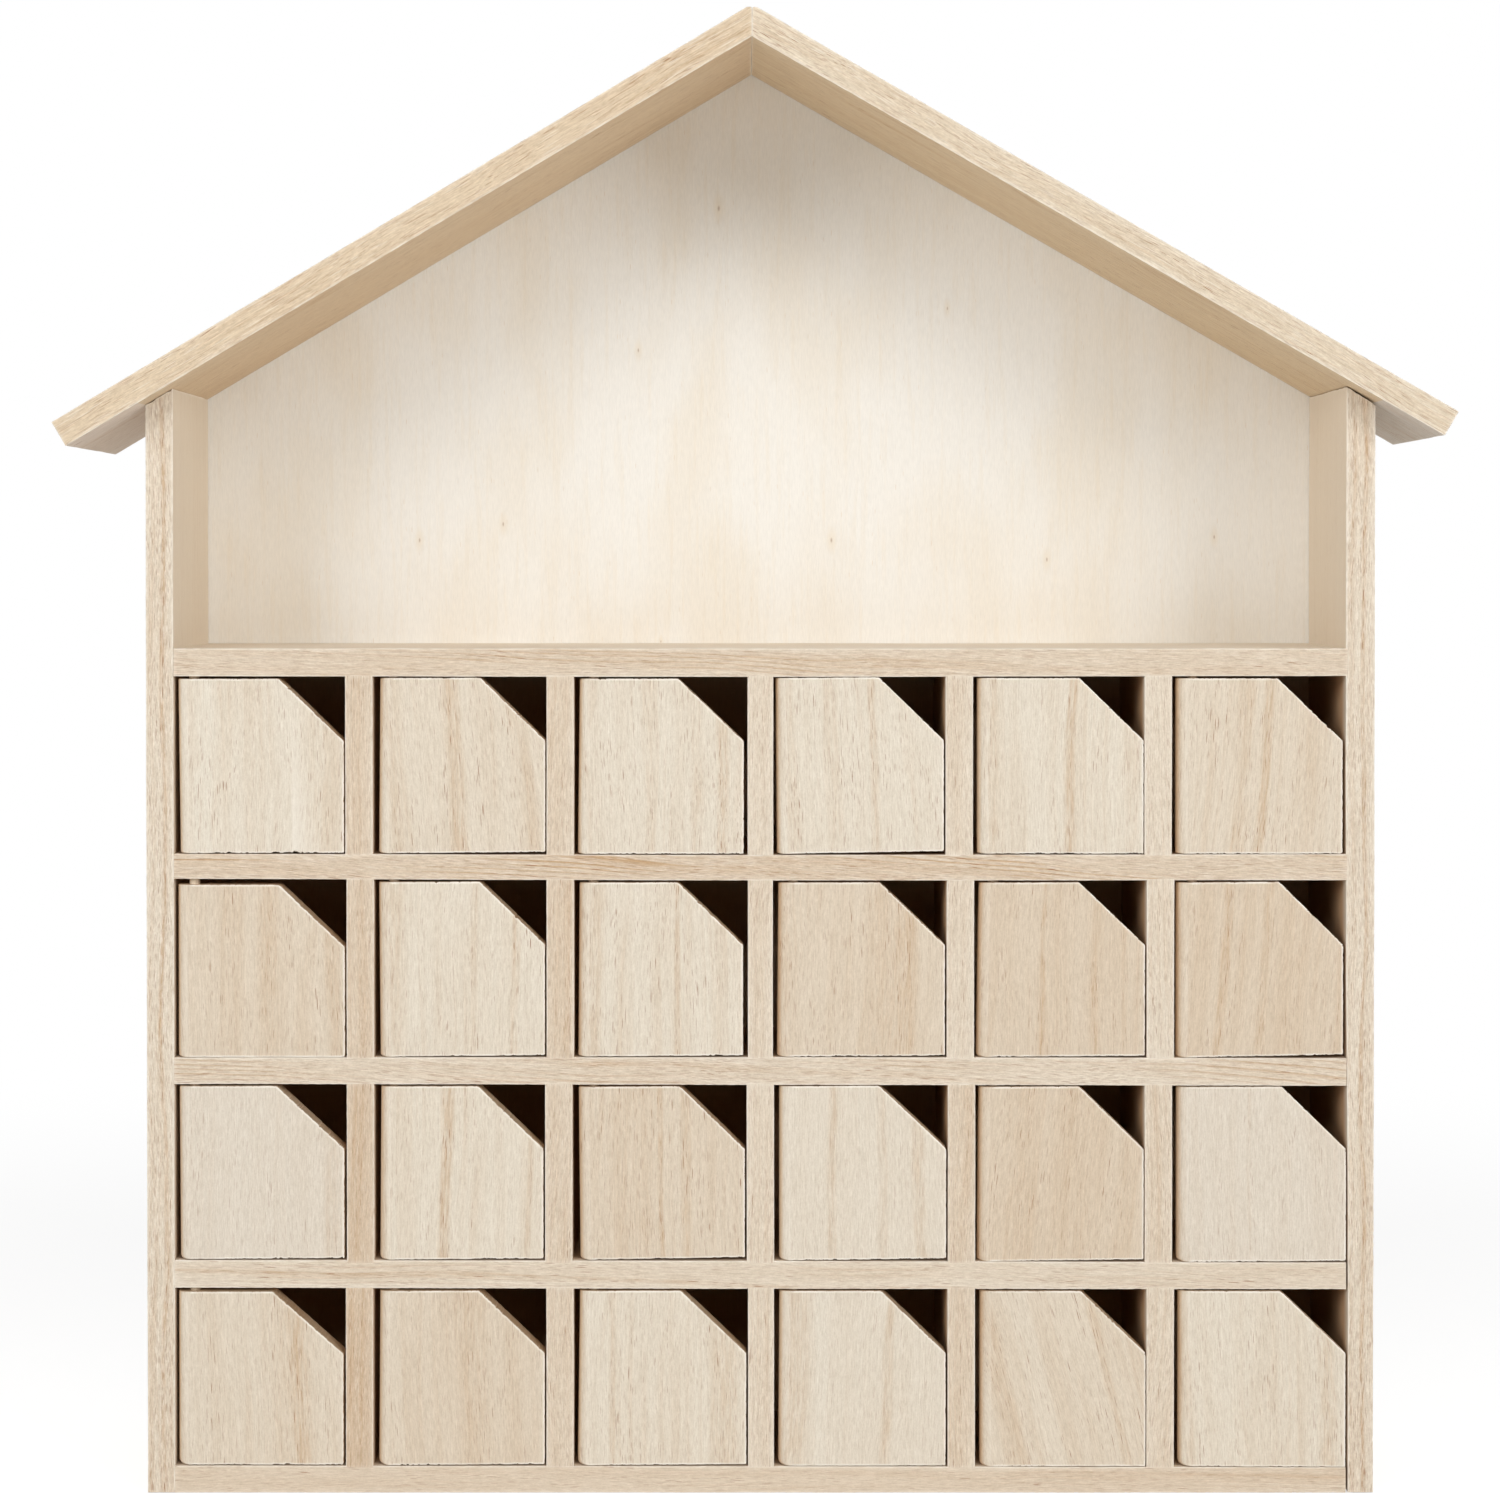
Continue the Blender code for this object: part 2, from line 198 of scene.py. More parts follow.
# Knots of the back panel: place across and height in millimetres, and size
PIN_KNOTS = ((-104, 279, 0.9), (-78, 284, 0.9), (24, 279, 1.0), (91, 273, 0.9), (-11, 382, 1.1),
             (-36, 338, 0.8), (143, 280, 0.8), (-29, 247.5, 0.5), (60, 351, 0.7))


# The camera and the room

def camera():
    """Stands where the photograph was taken: 0.88 m in front, level with the attic floor."""
    bpy.context.scene.view_settings.view_transform = "Standard"
    lens = bpy.data.cameras.new("front_camera")
    lens.sensor_width = 36.0
    lens.lens = 70.587
    lens.shift_x = 0.00503
    lens.shift_y = -0.1016
    item = bpy.data.objects.new("front_camera", lens)
    item.location = (-0.003643, -0.882093, 0.271893)
    item.rotation_euler = (math.radians(90 - 0.672), 0, 0)
    bpy.context.scene.collection.objects.link(item)
    bpy.context.scene.camera = item


def softbox(name, place, aim, width, height, watts):
    lamp = bpy.data.lights.new(name, "AREA")
    lamp.shape = "RECTANGLE"
    lamp.size, lamp.size_y = width, height
    lamp.energy = watts
    item = bpy.data.objects.new(name, lamp)
    item.location = place
    item.rotation_euler = (Vector(aim) - Vector(place)).to_track_quat("-Z", "Y").to_euler()
    bpy.context.scene.collection.objects.link(item)


def seen_directly(wire):
    """1 where a ray comes from the camera, from a gloss or through glass."""
    path = wire.node("ShaderNodeLightPath").outputs
    total = path["Is Camera Ray"]
    for other in ("Is Glossy Ray", "Is Transmission Ray"):
        total = wire.math("MAXIMUM", total, path[other])
    return total


def studio_world(wall_light):
    """A white wall behind the house lights it from behind; the room in front of it is dark."""
    world = bpy.data.worlds.new("studio")
    bpy.context.scene.world = world
    world.use_nodes = True
    world.node_tree.nodes.clear()
    wire = Wiring(world.node_tree)
    depth = wire.parts(wire.node("ShaderNodeTexCoord").outputs["Generated"])[1]
    behind = wire.node("ShaderNodeMapRange", {"Value": depth, "From Min": -0.55, "From Max": 0.45,
                                              "To Max": wall_light}, interpolation_type="SMOOTHSTEP")
    room = wire.node("ShaderNodeBackground", {"Strength": behind.outputs[0]}).outputs[0]
    backdrop = wire.node("ShaderNodeBackground", {"Color": (1, 1, 1, 1)}).outputs[0]
    mix = wire.node("ShaderNodeMixShader", {0: seen_directly(wire), 1: room, 2: backdrop}).outputs[0]
    wire.node("ShaderNodeOutputWorld", {"Surface": mix})


def floor():
    """A white floor. Near the house it takes its shadow, and further off it is plain white."""
    bpy.ops.mesh.primitive_plane_add(size=8.0, location=(0, 0, cad_low.z - 0.2 * MM))
    item = bpy.context.object
    item.name = "floor"
    material = bpy.data.materials.new("white_floor")
    material.use_nodes = True
    material.node_tree.nodes.clear()
    wire = Wiring(material.node_tree)
    lit = wire.node("ShaderNodeBsdfDiffuse", {"Color": (0.72, 0.72, 0.72, 1)}).outputs[0]
    lift = wire.node("ShaderNodeEmission", {"Strength": 0.58}).outputs[0]
    glow = wire.node("ShaderNodeEmission", {"Color": (0.93, 0.97, 1.0, 1), "Strength": 0.18}).outputs[0]
    plain = wire.node("ShaderNodeEmission").outputs[0]
    shaded = wire.node("ShaderNodeAddShader", {0: lit, 1: lift}).outputs[0]
    bright = wire.node("ShaderNodeAddShader", {0: lit, 1: glow}).outputs[0]
    away = wire.ramp(wire.length(wire.node("ShaderNodeTexCoord").outputs["Object"]), 0.30, 0.75)
    near_far = wire.node("ShaderNodeMixShader", {0: away, 1: shaded, 2: plain}).outputs[0]
    seen = wire.node("ShaderNodeMixShader", {0: seen_directly(wire), 1: bright, 2: near_far}).outputs[0]
    wire.node("ShaderNodeOutputMaterial", {"Surface": seen})
    item.data.materials.append(material)


# Wood

class Wiring:
    """Adds nodes to one tree, each call giving back the socket that the next step reads."""

    def __init__(self, tree):
        self.tree = tree

    def node(self, kind, inputs=(), **settings):
        item = self.tree.nodes.new(kind)
        for name, value in settings.items():
            setattr(item, name, value)
        for name, value in dict(inputs).items():
            self.feed(item.inputs[name], value)
        return item

    def feed(self, socket, value):
        if isinstance(value, bpy.types.NodeSocket):
            self.tree.links.new(value, socket)
        else:
            socket.default_value = value

    def math(self, operation, *values, clamp=False):
        item = self.node("ShaderNodeMath", operation=operation, use_clamp=clamp)
        for socket, value in zip(item.inputs, values):
            self.feed(socket, value)
        return item.outputs[0]

    def vector(self, operation, a, b):
        item = self.node("ShaderNodeVectorMath", operation=operation)
        self.feed(item.inputs[0], a)
        self.feed(item.inputs[1], b)
        return item.outputs[0]

    def scale(self, vector, amount):
        return self.node("ShaderNodeVectorMath", {0: vector, "Scale": amount}, operation="SCALE").outputs[0]

    def length(self, vector):
        return self.node("ShaderNodeVectorMath", {0: vector}, operation="LENGTH").outputs["Value"]

    def parts(self, vector):
        """The X, Y and Z of a vector."""
        return self.node("ShaderNodeSeparateXYZ", {0: vector}).outputs

    def invert(self, value):
        return self.math("SUBTRACT", 1.0, value)

    def stain(self, where, tint, colour):
        """The tint multiplied by a colour where the mask is 1."""
        return self.blend(where, tint, self.blend(1.0, tint, colour, "MULTIPLY"))

    def stretch(self, place, across, along):
        """Coordinates in cells of these sizes in millimetres, with the grain along Z."""
        return self.vector("MULTIPLY", place, (1 / across, 1 / across, 1 / along))

    def grain(self, place, across, along, detail=2.0, roughness=0.55):
        """Noise drawn out along the grain."""
        inputs = {"Vector": self.stretch(place, across, along), "Scale": 1.0, "Detail": detail,
                  "Roughness": roughness}
        return self.node("ShaderNodeTexNoise", inputs).outputs[0]

    def ramp(self, value, low, high, smooth=True):
        """0 below low and 1 above high."""
        kind = "SMOOTHSTEP" if smooth else "LINEAR"
        inputs = {"Value": value, "From Min": low, "From Max": high}
        return self.node("ShaderNodeMapRange", inputs, interpolation_type=kind).outputs[0]

    def blend(self, factor, a, b, kind="MIX"):
        item = self.node("ShaderNodeMix", data_type="RGBA", blend_type=kind)
        self.feed(item.inputs[0], factor)
        self.feed(item.inputs[6], a)
        self.feed(item.inputs[7], b)
        return item.outputs[2]


def blank_material(name):
    """A new material, with its wiring and its shader."""
    material = bpy.data.materials.new(name)
    material.use_nodes = True
    return material, Wiring(material.node_tree), material.node_tree.nodes["Principled BSDF"]


def raise_grain(wire, shader, height, strength, distance):
    """Low bumps in the wood, which has little gloss."""
    bump = wire.node("ShaderNodeBump", {"Height": height, "Strength": strength, "Distance": distance})
    wire.feed(shader.inputs["Normal"], bump.outputs[0])
    shader.inputs["Specular IOR Level"].default_value = 0.2


def dashes(wire, place, across, along, width=0.17, share=0.8):
    """Short dashes along the grain, one in a cell where the cell's heart lies near the face.
    width is the dash's half width as a share of the cell, and share how many cells have one."""
    cells = wire.node("ShaderNodeTexVoronoi", {"Vector": wire.stretch(place, across, along), "Scale": 1.0})
    dash = wire.invert(wire.ramp(cells.outputs["Distance"], 0.6 * width, width))
    chance = wire.node("ShaderNodeSeparateColor", {"Color": cells.outputs["Color"]}).outputs[0]
    return wire.math("MULTIPLY", dash, wire.ramp(chance, 1.0 - share, 1.3 - share))


def paulownia_group():
    """Bare paulownia: soft bands, streaks, growth lines, fine fibres and open pores.
    Place is in millimetres from the middle of the board: X across its face and Z along the grain."""
    tree = bpy.data.node_groups.new("paulownia", "ShaderNodeTree")
    colour, number, vector = "NodeSocketColor", "NodeSocketFloat", "NodeSocketVector"
    sockets = (("Place", vector, None), ("Pith", vector, None), ("Pale", colour, None),
               ("Warm", colour, None), ("Pore", colour, None), ("Growth Lines", number, 0.2),
               ("Line Spacing", number, 3.4), ("Bands", number, 0.3), ("Pores", number, 0.6),
               ("Sawn", number, 0.0), ("Sawn Length", number, 4.0), ("Detail", number, 1.0),
               ("Streak 1", vector, None), ("Streak 2", vector, None), ("Streak 3", vector, None))
    for name, kind, value in sockets:
        socket = tree.interface.new_socket(name, in_out="INPUT", socket_type=kind)
        if value is not None:
            socket.default_value = value
    for name, kind in (("Color", colour), ("Roughness", number), ("Height", number)):
        tree.interface.new_socket(name, in_out="OUTPUT", socket_type=kind)
    wire = Wiring(tree)
    given = wire.node("NodeGroupInput").outputs

    # The grain sways a little along the board
    from_pith = wire.vector("ADD", given["Place"], given["Pith"])
    sway = wire.node("ShaderNodeTexNoise", {"Vector": wire.stretch(from_pith, 26.0, 60.0), "Scale": 1.0,
                                            "Detail": 1.0})
    sway = wire.vector("SUBTRACT", sway.outputs[1], (0.5, 0.5, 0.5))
    place = wire.vector("ADD", given["Place"], wire.vector("MULTIPLY", sway, (4.5, 4.5, 0.0)))
    wood = wire.vector("ADD", place, given["Pith"])

    # Growth lines round the pith, sharp on one side
    radius = wire.length(wire.vector("MULTIPLY", wood, (1.0, 1.0, 0.0)))
    uneven_width = wire.grain(wood, 14.0, 220.0, detail=2.0)
    turn = wire.math("FRACT", wire.math("MULTIPLY_ADD", uneven_width, 5.0,
                                        wire.math("DIVIDE", radius, given["Line Spacing"])))
    line = wire.math("MULTIPLY", wire.ramp(turn, 0.45, 0.93), wire.invert(wire.ramp(turn, 0.93, 1.0)))
    here = wire.ramp(wire.grain(wood, 10.0, 90.0, detail=1.0), 0.42, 0.62)
    line = wire.math("MULTIPLY", wire.math("MULTIPLY", line, here), given["Growth Lines"])

    # Soft bands, and the streaks that this board has
    band = wire.ramp(wire.grain(wood, 4.5, 110.0, detail=2.0, roughness=0.5), 0.38, 0.68)
    warmth = wire.math("MULTIPLY_ADD", band, given["Bands"], line)
    across = wire.parts(place)[0]
    broken = wire.ramp(wire.grain(wood, 0.6, 9.0, detail=2.0, roughness=0.6), 0.35, 0.65)
    crowd = wire.ramp(wire.grain(wood, 3.4, 30.0, detail=2.0), 0.46, 0.68)
    crowd = wire.math("MULTIPLY_ADD", line, 1.6, crowd)
    for name in ("Streak 1", "Streak 2", "Streak 3"):
        centre, half_width, strength = wire.parts(given[name])
        off = wire.math("ABSOLUTE", wire.math("SUBTRACT", across, centre))
        inside = wire.invert(wire.ramp(wire.math("DIVIDE", off, half_width), 0.35, 1.4))
        inside = wire.math("MULTIPLY", inside, strength)
        warmth = wire.math("MULTIPLY_ADD", inside, wire.math("MULTIPLY_ADD", broken, 0.42, 0.14), warmth)
        crowd = wire.math("MAXIMUM", crowd, wire.math("MULTIPLY", inside, 1.3))
    warmth = wire.math("MULTIPLY_ADD", warmth, given["Detail"], 0.06, clamp=True)

    # Fibres, felt and pores
    fibre = wire.grain(wood, 0.36, 2.6, detail=2.0, roughness=0.65)
    hair = wire.grain(wood, 0.36, 14.0, detail=2.0, roughness=0.65)
    felt = wire.grain(wood, 0.40, 0.6, detail=1.0)
    crowd = wire.math("MULTIPLY_ADD", crowd, 0.85, 0.12, clamp=True)
    fine = wire.math("MULTIPLY", dashes(wire, wood, 0.36, 6.0, 0.26),
                     wire.math("MULTIPLY_ADD", crowd, 0.45, 0.20))
    main = wire.math("MULTIPLY", dashes(wire, wood, 0.44, 10.0, 0.24), crowd)
    pore = wire.math("MULTIPLY", wire.math("MAXIMUM", fine, main), given["Pores"])

    # Marks of the saw: dark open pores and pale torn fibres, as long as the board's cut left them
    shorter = wire.math("DIVIDE", 1.0, given["Sawn Length"])
    shorter = wire.node("ShaderNodeCombineXYZ", {"X": 1.0, "Y": 1.0, "Z": shorter}).outputs[0]
    sawn = wire.vector("MULTIPLY", wood, shorter)
    open_pore = wire.math("MULTIPLY", dashes(wire, sawn, 0.34, 1.3, 0.30, 0.95), given["Sawn"])
    pore = wire.math("MAXIMUM", pore, wire.math("MULTIPLY", open_pore, 0.48))
    pore = wire.math("MULTIPLY", pore, given["Detail"], clamp=True)
    elsewhere = wire.vector("ADD", sawn, (31.0, 7.0, 13.0))
    torn = wire.math("MULTIPLY", dashes(wire, elsewhere, 0.44, 1.1, 0.32, 0.9), given["Sawn"])

    tint = wire.blend(warmth, given["Pale"], given["Warm"])
    level = 0.0
    for noise, amount in ((fibre, 0.44), (hair, 0.30), (felt, 0.18)):
        level = wire.math("MULTIPLY_ADD", wire.math("SUBTRACT", noise, 0.5), amount, level)
    level = wire.math("MULTIPLY", level, wire.math("MULTIPLY_ADD", given["Sawn"], 0.5, given["Detail"]))
    shade = wire.node("ShaderNodeCombineXYZ", {"X": level, "Y": level, "Z": level}).outputs[0]
    shade = wire.vector("MULTIPLY", shade, (0.85, 1.0, 1.2))
    tint = wire.vector("MULTIPLY", tint, wire.vector("ADD", shade, (1.0, 1.0, 1.0)))
    tint = wire.blend(wire.math("MULTIPLY", torn, 0.50), tint, TORN_CREAM)
    tint = wire.blend(pore, tint, given["Pore"])
    height = wire.math("MULTIPLY_ADD", fibre, 0.5, wire.math("MULTIPLY", pore, -0.8))
    height = wire.math("MULTIPLY_ADD", torn, 0.8, height)
    out = wire.node("NodeGroupOutput")
    wire.feed(out.inputs["Color"], tint)
    wire.feed(out.inputs["Roughness"], wire.math("MULTIPLY_ADD", fibre, 0.16, 0.62))
    wire.feed(out.inputs["Height"], height)
    return tree


def board_wood(name, pale, warm, centre, seed, grain_angle=0.0, slant=0.0, growth=0.2, spacing=3.4,
               bands=0.12, pores=0.7, sawn=0.0, sawn_length=4.0, planed=1.0, streaks=(), inner=None,
               side_painted_shade=None, eave=None, top_painted_light=None):
    """The wood of one board. grain_angle turns the grain from upright about Y, in radians, and slant
    leans it to the right at its upper end, in degrees. sawn is how rough the front and back edges
    are off the saw, and planed how much of the grain still shows on the other faces. inner bounds
    the closed compartments as (depth, height, half width), in which the colour is darkened as painted
    shade. side_painted_shade is painted shade on a door's narrow sides, top_painted_light painted light
    on a board's upper face, and eave holds where the eave begins and the two colours painted on the
    face below: painted bounce light outside the walls and painted shade inside them."""
    material, wire, shader = blank_material(name)
    rng = np.random.default_rng(seed)
    pith = (rng.uniform(20, 60) * rng.choice((-1, 1)), rng.uniform(16, 45), rng.uniform(-400, 400))
    turn = Matrix.Rotation(grain_angle - math.radians(slant), 3, "Y")
    turn = Matrix.Rotation(math.radians(rng.uniform(-1.2, 1.2)), 3, "X") @ turn
    spot = wire.node("ShaderNodeTexCoord")
    mapping = wire.node("ShaderNodeMapping", {"Vector": spot.outputs["Object"]})
    mapping.inputs["Scale"].default_value = (1 / MM, 1 / MM, 1 / MM)
    mapping.inputs["Rotation"].default_value = turn.to_euler()
    mapping.inputs["Location"].default_value = -(turn @ (Vector(centre) / MM))
    wood = wire.node("ShaderNodeGroup", node_tree=PAULOWNIA)
    settings = {"Place": mapping.outputs[0], "Pith": pith, "Pale": pale, "Warm": warm, "Pore": PORE_BROWN,
                "Growth Lines": growth, "Line Spacing": spacing, "Bands": bands, "Pores": pores,
                "Sawn Length": sawn_length}
    for number in range(3):
        settings[f"Streak {number + 1}"] = streaks[number] if number < len(streaks) else (0.0, 1.0, 0.0)
    for socket, value in settings.items():
        wire.feed(wood.inputs[socket], value)
    normal = spot.outputs["Normal"]
    facing_y, facing_z = wire.parts(normal)[1:]
    front = wire.ramp(wire.math("ABSOLUTE", facing_y), 0.5, 0.9)
    wire.feed(wood.inputs["Sawn"], wire.math("MULTIPLY", front, sawn))
    wire.feed(wood.inputs["Detail"], wire.math("MULTIPLY_ADD", front, 1.0 - planed, planed))

    # End grain is darker, and the arrises are paler: torn fibres in part, painted highlight in part
    along = turn.inverted() @ Vector((0, 0, 1))
    facing = wire.node("ShaderNodeVectorMath", {0: normal, 1: along}, operation="DOT_PRODUCT")
    end = wire.ramp(wire.math("ABSOLUTE", facing.outputs["Value"]), 0.15, 0.80)
    tint = wire.stain(end, wood.outputs["Color"], END_GRAIN)
    across, depth, height = wire.parts(spot.outputs["Object"])
    # Painted shade: the colour is darkened inside the closed compartments
    if inner:
        between = wire.math("LESS_THAN", wire.math("ABSOLUTE", across), inner[2])
        inside = wire.math("MULTIPLY", wire.ramp(depth, inner[0] + 0.2 * MM, inner[0] + 7 * MM),
                           wire.math("MULTIPLY", wire.math("LESS_THAN", height, inner[1]), between))
        tint = wire.stain(inside, tint, INSIDE_SHADE)
    # Painted shade on a door's narrow sides, in the dark gaps round it
    if side_painted_shade:
        tint = wire.blend(front, wire.blend(1.0, tint, side_painted_shade, "MULTIPLY"), tint)
    # Painted light and shade under the roof: paler, cooler bounce light outside the walls, darker and warmer
    # shade inside them
    if eave:
        begins, outer_painted_light, inner_painted_shade = eave
        outside = wire.math("GREATER_THAN", wire.math("ABSOLUTE", across), begins)
        shade = wire.blend(outside, inner_painted_shade, outer_painted_light)
        tint = wire.stain(wire.math("LESS_THAN", facing_z, -0.7), tint, shade)
    # Painted light: the upper face made paler and cooler
    if top_painted_light:
        tint = wire.stain(wire.math("GREATER_THAN", facing_z, 0.7), tint, top_painted_light)
    # Pale arrises: torn fibres in part, painted highlight in part
    arris = wire.node("ShaderNodeAttribute", attribute_name="arris").outputs["Fac"]
    tint = wire.blend(wire.math("MULTIPLY", arris, 0.9), tint, ARRIS_FIBRES_AND_HIGHLIGHT)
    wire.feed(shader.inputs["Base Color"], tint)
    wire.feed(shader.inputs["Roughness"], wood.outputs["Roughness"])
    raise_grain(wire, shader, wood.outputs["Height"], 0.45, 0.08 * MM)
    return material


def panel_veneer(low):
    """Pale veneer with fine upright lines, warm clouds and a few pin knots, and ply at the edges."""
    material, wire, shader = blank_material("panel_veneer")
    spot = wire.node("ShaderNodeTexCoord")
    place = wire.scale(spot.outputs["Object"], 1 / MM)
    cloud = wire.ramp(wire.grain(place, 30.0, 75.0, detail=2.0), 0.42, 0.70)
    line = wire.grain(place, 0.38, 2.6, detail=2.0, roughness=0.65)
    streak = wire.ramp(wire.grain(place, 1.6, 26.0, detail=2.0), 0.48, 0.75)
    warmth = wire.math("MULTIPLY_ADD", streak, 0.12, wire.math("MULTIPLY", cloud, 0.22))
    tint = wire.blend(warmth, VENEER_PALE, VENEER_WARM)
    tint = wire.scale(tint, wire.math("MULTIPLY_ADD", wire.math("SUBTRACT", line, 0.5), 0.18, 1.0))
    fleck = dashes(wire, place, 0.8, 6.0, 0.18, 0.3)
    tint = wire.blend(wire.math("MULTIPLY", fleck, 0.25), tint, VENEER_FLECK)
    for x, z, size in PIN_KNOTS:
        away = wire.vector("MULTIPLY", wire.vector("SUBTRACT", place, (x, low[1] / MM, z)), (1.0, 0.0, 0.40))
        distance = wire.length(away)
        halo = wire.invert(wire.ramp(distance, 0.1 * size, 2.4 * size))
        heart = wire.invert(wire.ramp(distance, 0.05 * size, 0.45 * size))
        tint = wire.blend(wire.math("MULTIPLY", halo, 0.28), tint, VENEER_WARM)
        tint = wire.blend(wire.math("MULTIPLY", heart, 0.5), tint, KNOT_BROWN)

    # The edges show three plies, the middle one darker end grain
    facing = wire.parts(spot.outputs["Normal"])[1]
    depth, height = wire.parts(place)[1:]
    from_middle = wire.math("ABSOLUTE", wire.math("SUBTRACT", depth, low[1] / MM + 1.5))
    core = wire.invert(wire.ramp(from_middle, 0.45, 0.60))
    grain = wire.grain(place, 0.4, 0.9, detail=2.0)
    ply = wire.blend(core, VENEER_WARM, wire.blend(grain, PORE_BROWN, VENEER_WARM))
    tint = wire.blend(wire.ramp(wire.math("ABSOLUTE", facing), 0.3, 0.7), ply, tint)
    # Painted shade: the panel's front is darkened inside the closed compartments
    inside = wire.math("MULTIPLY", wire.math("LESS_THAN", height, INNER[1] / MM - 3.0),
                       wire.math("LESS_THAN", facing, 0.0))
    tint = wire.stain(inside, tint, INSIDE_SHADE)
    wire.feed(shader.inputs["Base Color"], tint)
    wire.feed(shader.inputs["Roughness"], wire.math("MULTIPLY_ADD", line, 0.14, 0.55))
    raise_grain(wire, shader, line, 0.35, 0.06 * MM)
    return material


# Grid boxes

def grid_box(xs, ys, zs):
    """Points and quads of a closed box with a grid line at each place in the three lists."""
    counts = (len(xs), len(ys), len(zs))
    on_skin = np.ones(counts, bool)
    on_skin[1:-1, 1:-1, 1:-1] = False
    index = np.full(counts, -1)
    index[on_skin] = np.arange(on_skin.sum())
    points = np.stack(np.meshgrid(xs, ys, zs, indexing="ij"), axis=-1)[on_skin]
    faces = []
    for axis in range(3):
        for end in (0, -1):
            sheet = np.take(index, end, axis=axis)
            quads = np.stack((sheet[:-1, :-1], sheet[1:, :-1], sheet[1:, 1:], sheet[:-1, 1:]), axis=-1)
            quads = quads.reshape(-1, 4)
            outward = (end == 0) == (axis == 1)
            faces.append(quads if outward else quads[:, ::-1])
    return points, np.concatenate(faces)


def marks(low, high, step=GRID_STEP):
    """Places from low to high about a step apart, and closer by both ends."""
    edge = np.array([0.0, 0.12, 0.3, 0.6]) * MM
    inner = np.linspace(low + 1.0 * MM, high - 1.0 * MM, max(2, round((high - low - 2.0 * MM) / step) + 1))
    return np.unique(np.round(np.concatenate((low + edge, inner, high - edge)), 7))


def few_marks(low, high, count=3):
    """Places across a hidden or plain stretch: close by both ends and a few between."""
    edge = np.array([0.0, 0.12, 0.3, 0.6]) * MM
    inner = np.linspace(low, high, count + 2)[1:-1]
    return np.unique(np.round(np.concatenate((low + edge, inner, high - edge)), 7))


def noise_at(points, spacing, seed):
    """Smooth noise from -1 to 1 at each point; spacing may differ along the axes."""
    rng = np.random.default_rng(seed)
    heights = rng.uniform(-1, 1, 1024)
    order = rng.permutation(1024)
    spot = points / np.asarray(spacing) + rng.uniform(0, 1, 3) + 4096
    cell = np.floor(spot).astype(int)
    part = spot - cell
    part = part * part * (3 - 2 * part)
    total = np.zeros(len(points))
    for corner in itertools.product((0, 1), repeat=3):
        index = np.zeros(len(points), int)
        for axis in range(3):
            index = order[(index + cell[:, axis] + corner[axis]) % 1024]
        weight = np.prod(np.where(corner, part, 1 - part), axis=1)
        total += heights[index] * weight
    return total


def break_edges(points, low, high, radius):
    """Rounds the edges of a box to radius, which holds one value for each point."""
    radius = radius[:, None]
    core = np.clip(points, low + radius, high - radius)
    reach = points - core
    length = np.linalg.norm(reach, axis=1, keepdims=True)
    return core + reach * radius / np.maximum(length, 1e-9)


def edge_nearness(points, low, high):
    """1 on an edge of the box, falling off within a fraction of a millimetre."""
    gaps = np.minimum(points - low, high - points)
    second = np.sort(gaps, axis=1)[:, 1]
    return np.exp(-second / (0.25 * MM))


def worked_box(xs, ys, zs, seed, grain_axis=2, chips=1.0, tight=False):
    """A grid box with ragged sawn edges that chip along the grain. Gives points, faces, edges.
    tight leaves the two ends crisp, where they are glued to other boards."""
    points, faces = grid_box(xs, ys, zs)
    low, high = points.min(axis=0), points.max(axis=0)
    near = edge_nearness(points, low, high)
    spacing = np.full(3, CHIP_LENGTH / 2)
    spacing[grain_axis] = CHIP_LENGTH
    chip = noise_at(points, spacing, seed) + 0.5 * noise_at(points, spacing / 2.3, seed + 1)
    seldom = np.clip(noise_at(points, 9 * MM, seed + 3) + 0.4, 0, 1)
    uneven = noise_at(points, RAG_LENGTH, seed + 4) + 0.6 * noise_at(points, RAG_LENGTH * 0.6, seed + 6)
    ragged = np.clip((uneven - 0.1) / 0.6, 0, 1)
    radius = SAWN_ARRIS * (1 + 0.5 * noise_at(points, 18 * MM, seed + 2)) + RAG_DEPTH * ragged
    radius += chips * CHIP_DEPTH * np.clip(chip - 0.35, 0, 1) * seldom
    if tight:
        from_end = np.minimum(points - low, high - points)[:, grain_axis]
        at_end = np.exp(-from_end / (0.3 * MM))
        radius *= 1 - 0.9 * at_end
        near *= 1 - at_end
    points = break_edges(points, low, high, np.clip(radius, 0.02 * MM, 1.2 * MM))
    # patchy pale arrises, torn fibres in part and painted highlight in part
    near *= np.clip(0.8 + 0.5 * noise_at(points, 2.5 * MM, seed + 5), 0, 1)
    return points, faces, near


def wander(points, seed, amount=FACE_WANDER, spacing=24 * MM):
    """Moves the points a little, so that no face or edge is quite true."""
    moves = [noise_at(points, spacing, seed + axis) for axis in range(3)]
    return points + amount * np.stack(moves, axis=1)


def finish_piece(name, points, faces, near, material, body, nodes):
    """Makes the mesh object and says what it rides on, what it is made of and what it replaces."""
    points = np.clip(points, cad_low, cad_high)
    mesh = bpy.data.meshes.new(name)
    mesh.from_pydata(points.tolist(), [], [list(face) for face in faces])
    # the arris attribute masks the pale arrises: torn fibres in part, painted highlight in part
    attribute = mesh.attributes.new("arris", "FLOAT", "POINT")
    attribute.data.foreach_set("value", np.clip(near, 0, 1).astype(np.float32))
    mesh.materials.append(material)
    mesh.validate()
    bm = bmesh.new()
    bm.from_mesh(mesh)
    bmesh.ops.remove_doubles(bm, verts=bm.verts, dist=2e-6)
    bmesh.ops.dissolve_degenerate(bm, edges=bm.edges, dist=1e-6)
    bm.to_mesh(mesh)
    bm.free()
    mesh.shade_smooth()
    mesh.set_sharp_from_angle(angle=math.radians(48))
    return place_piece(name, mesh, body, nodes)


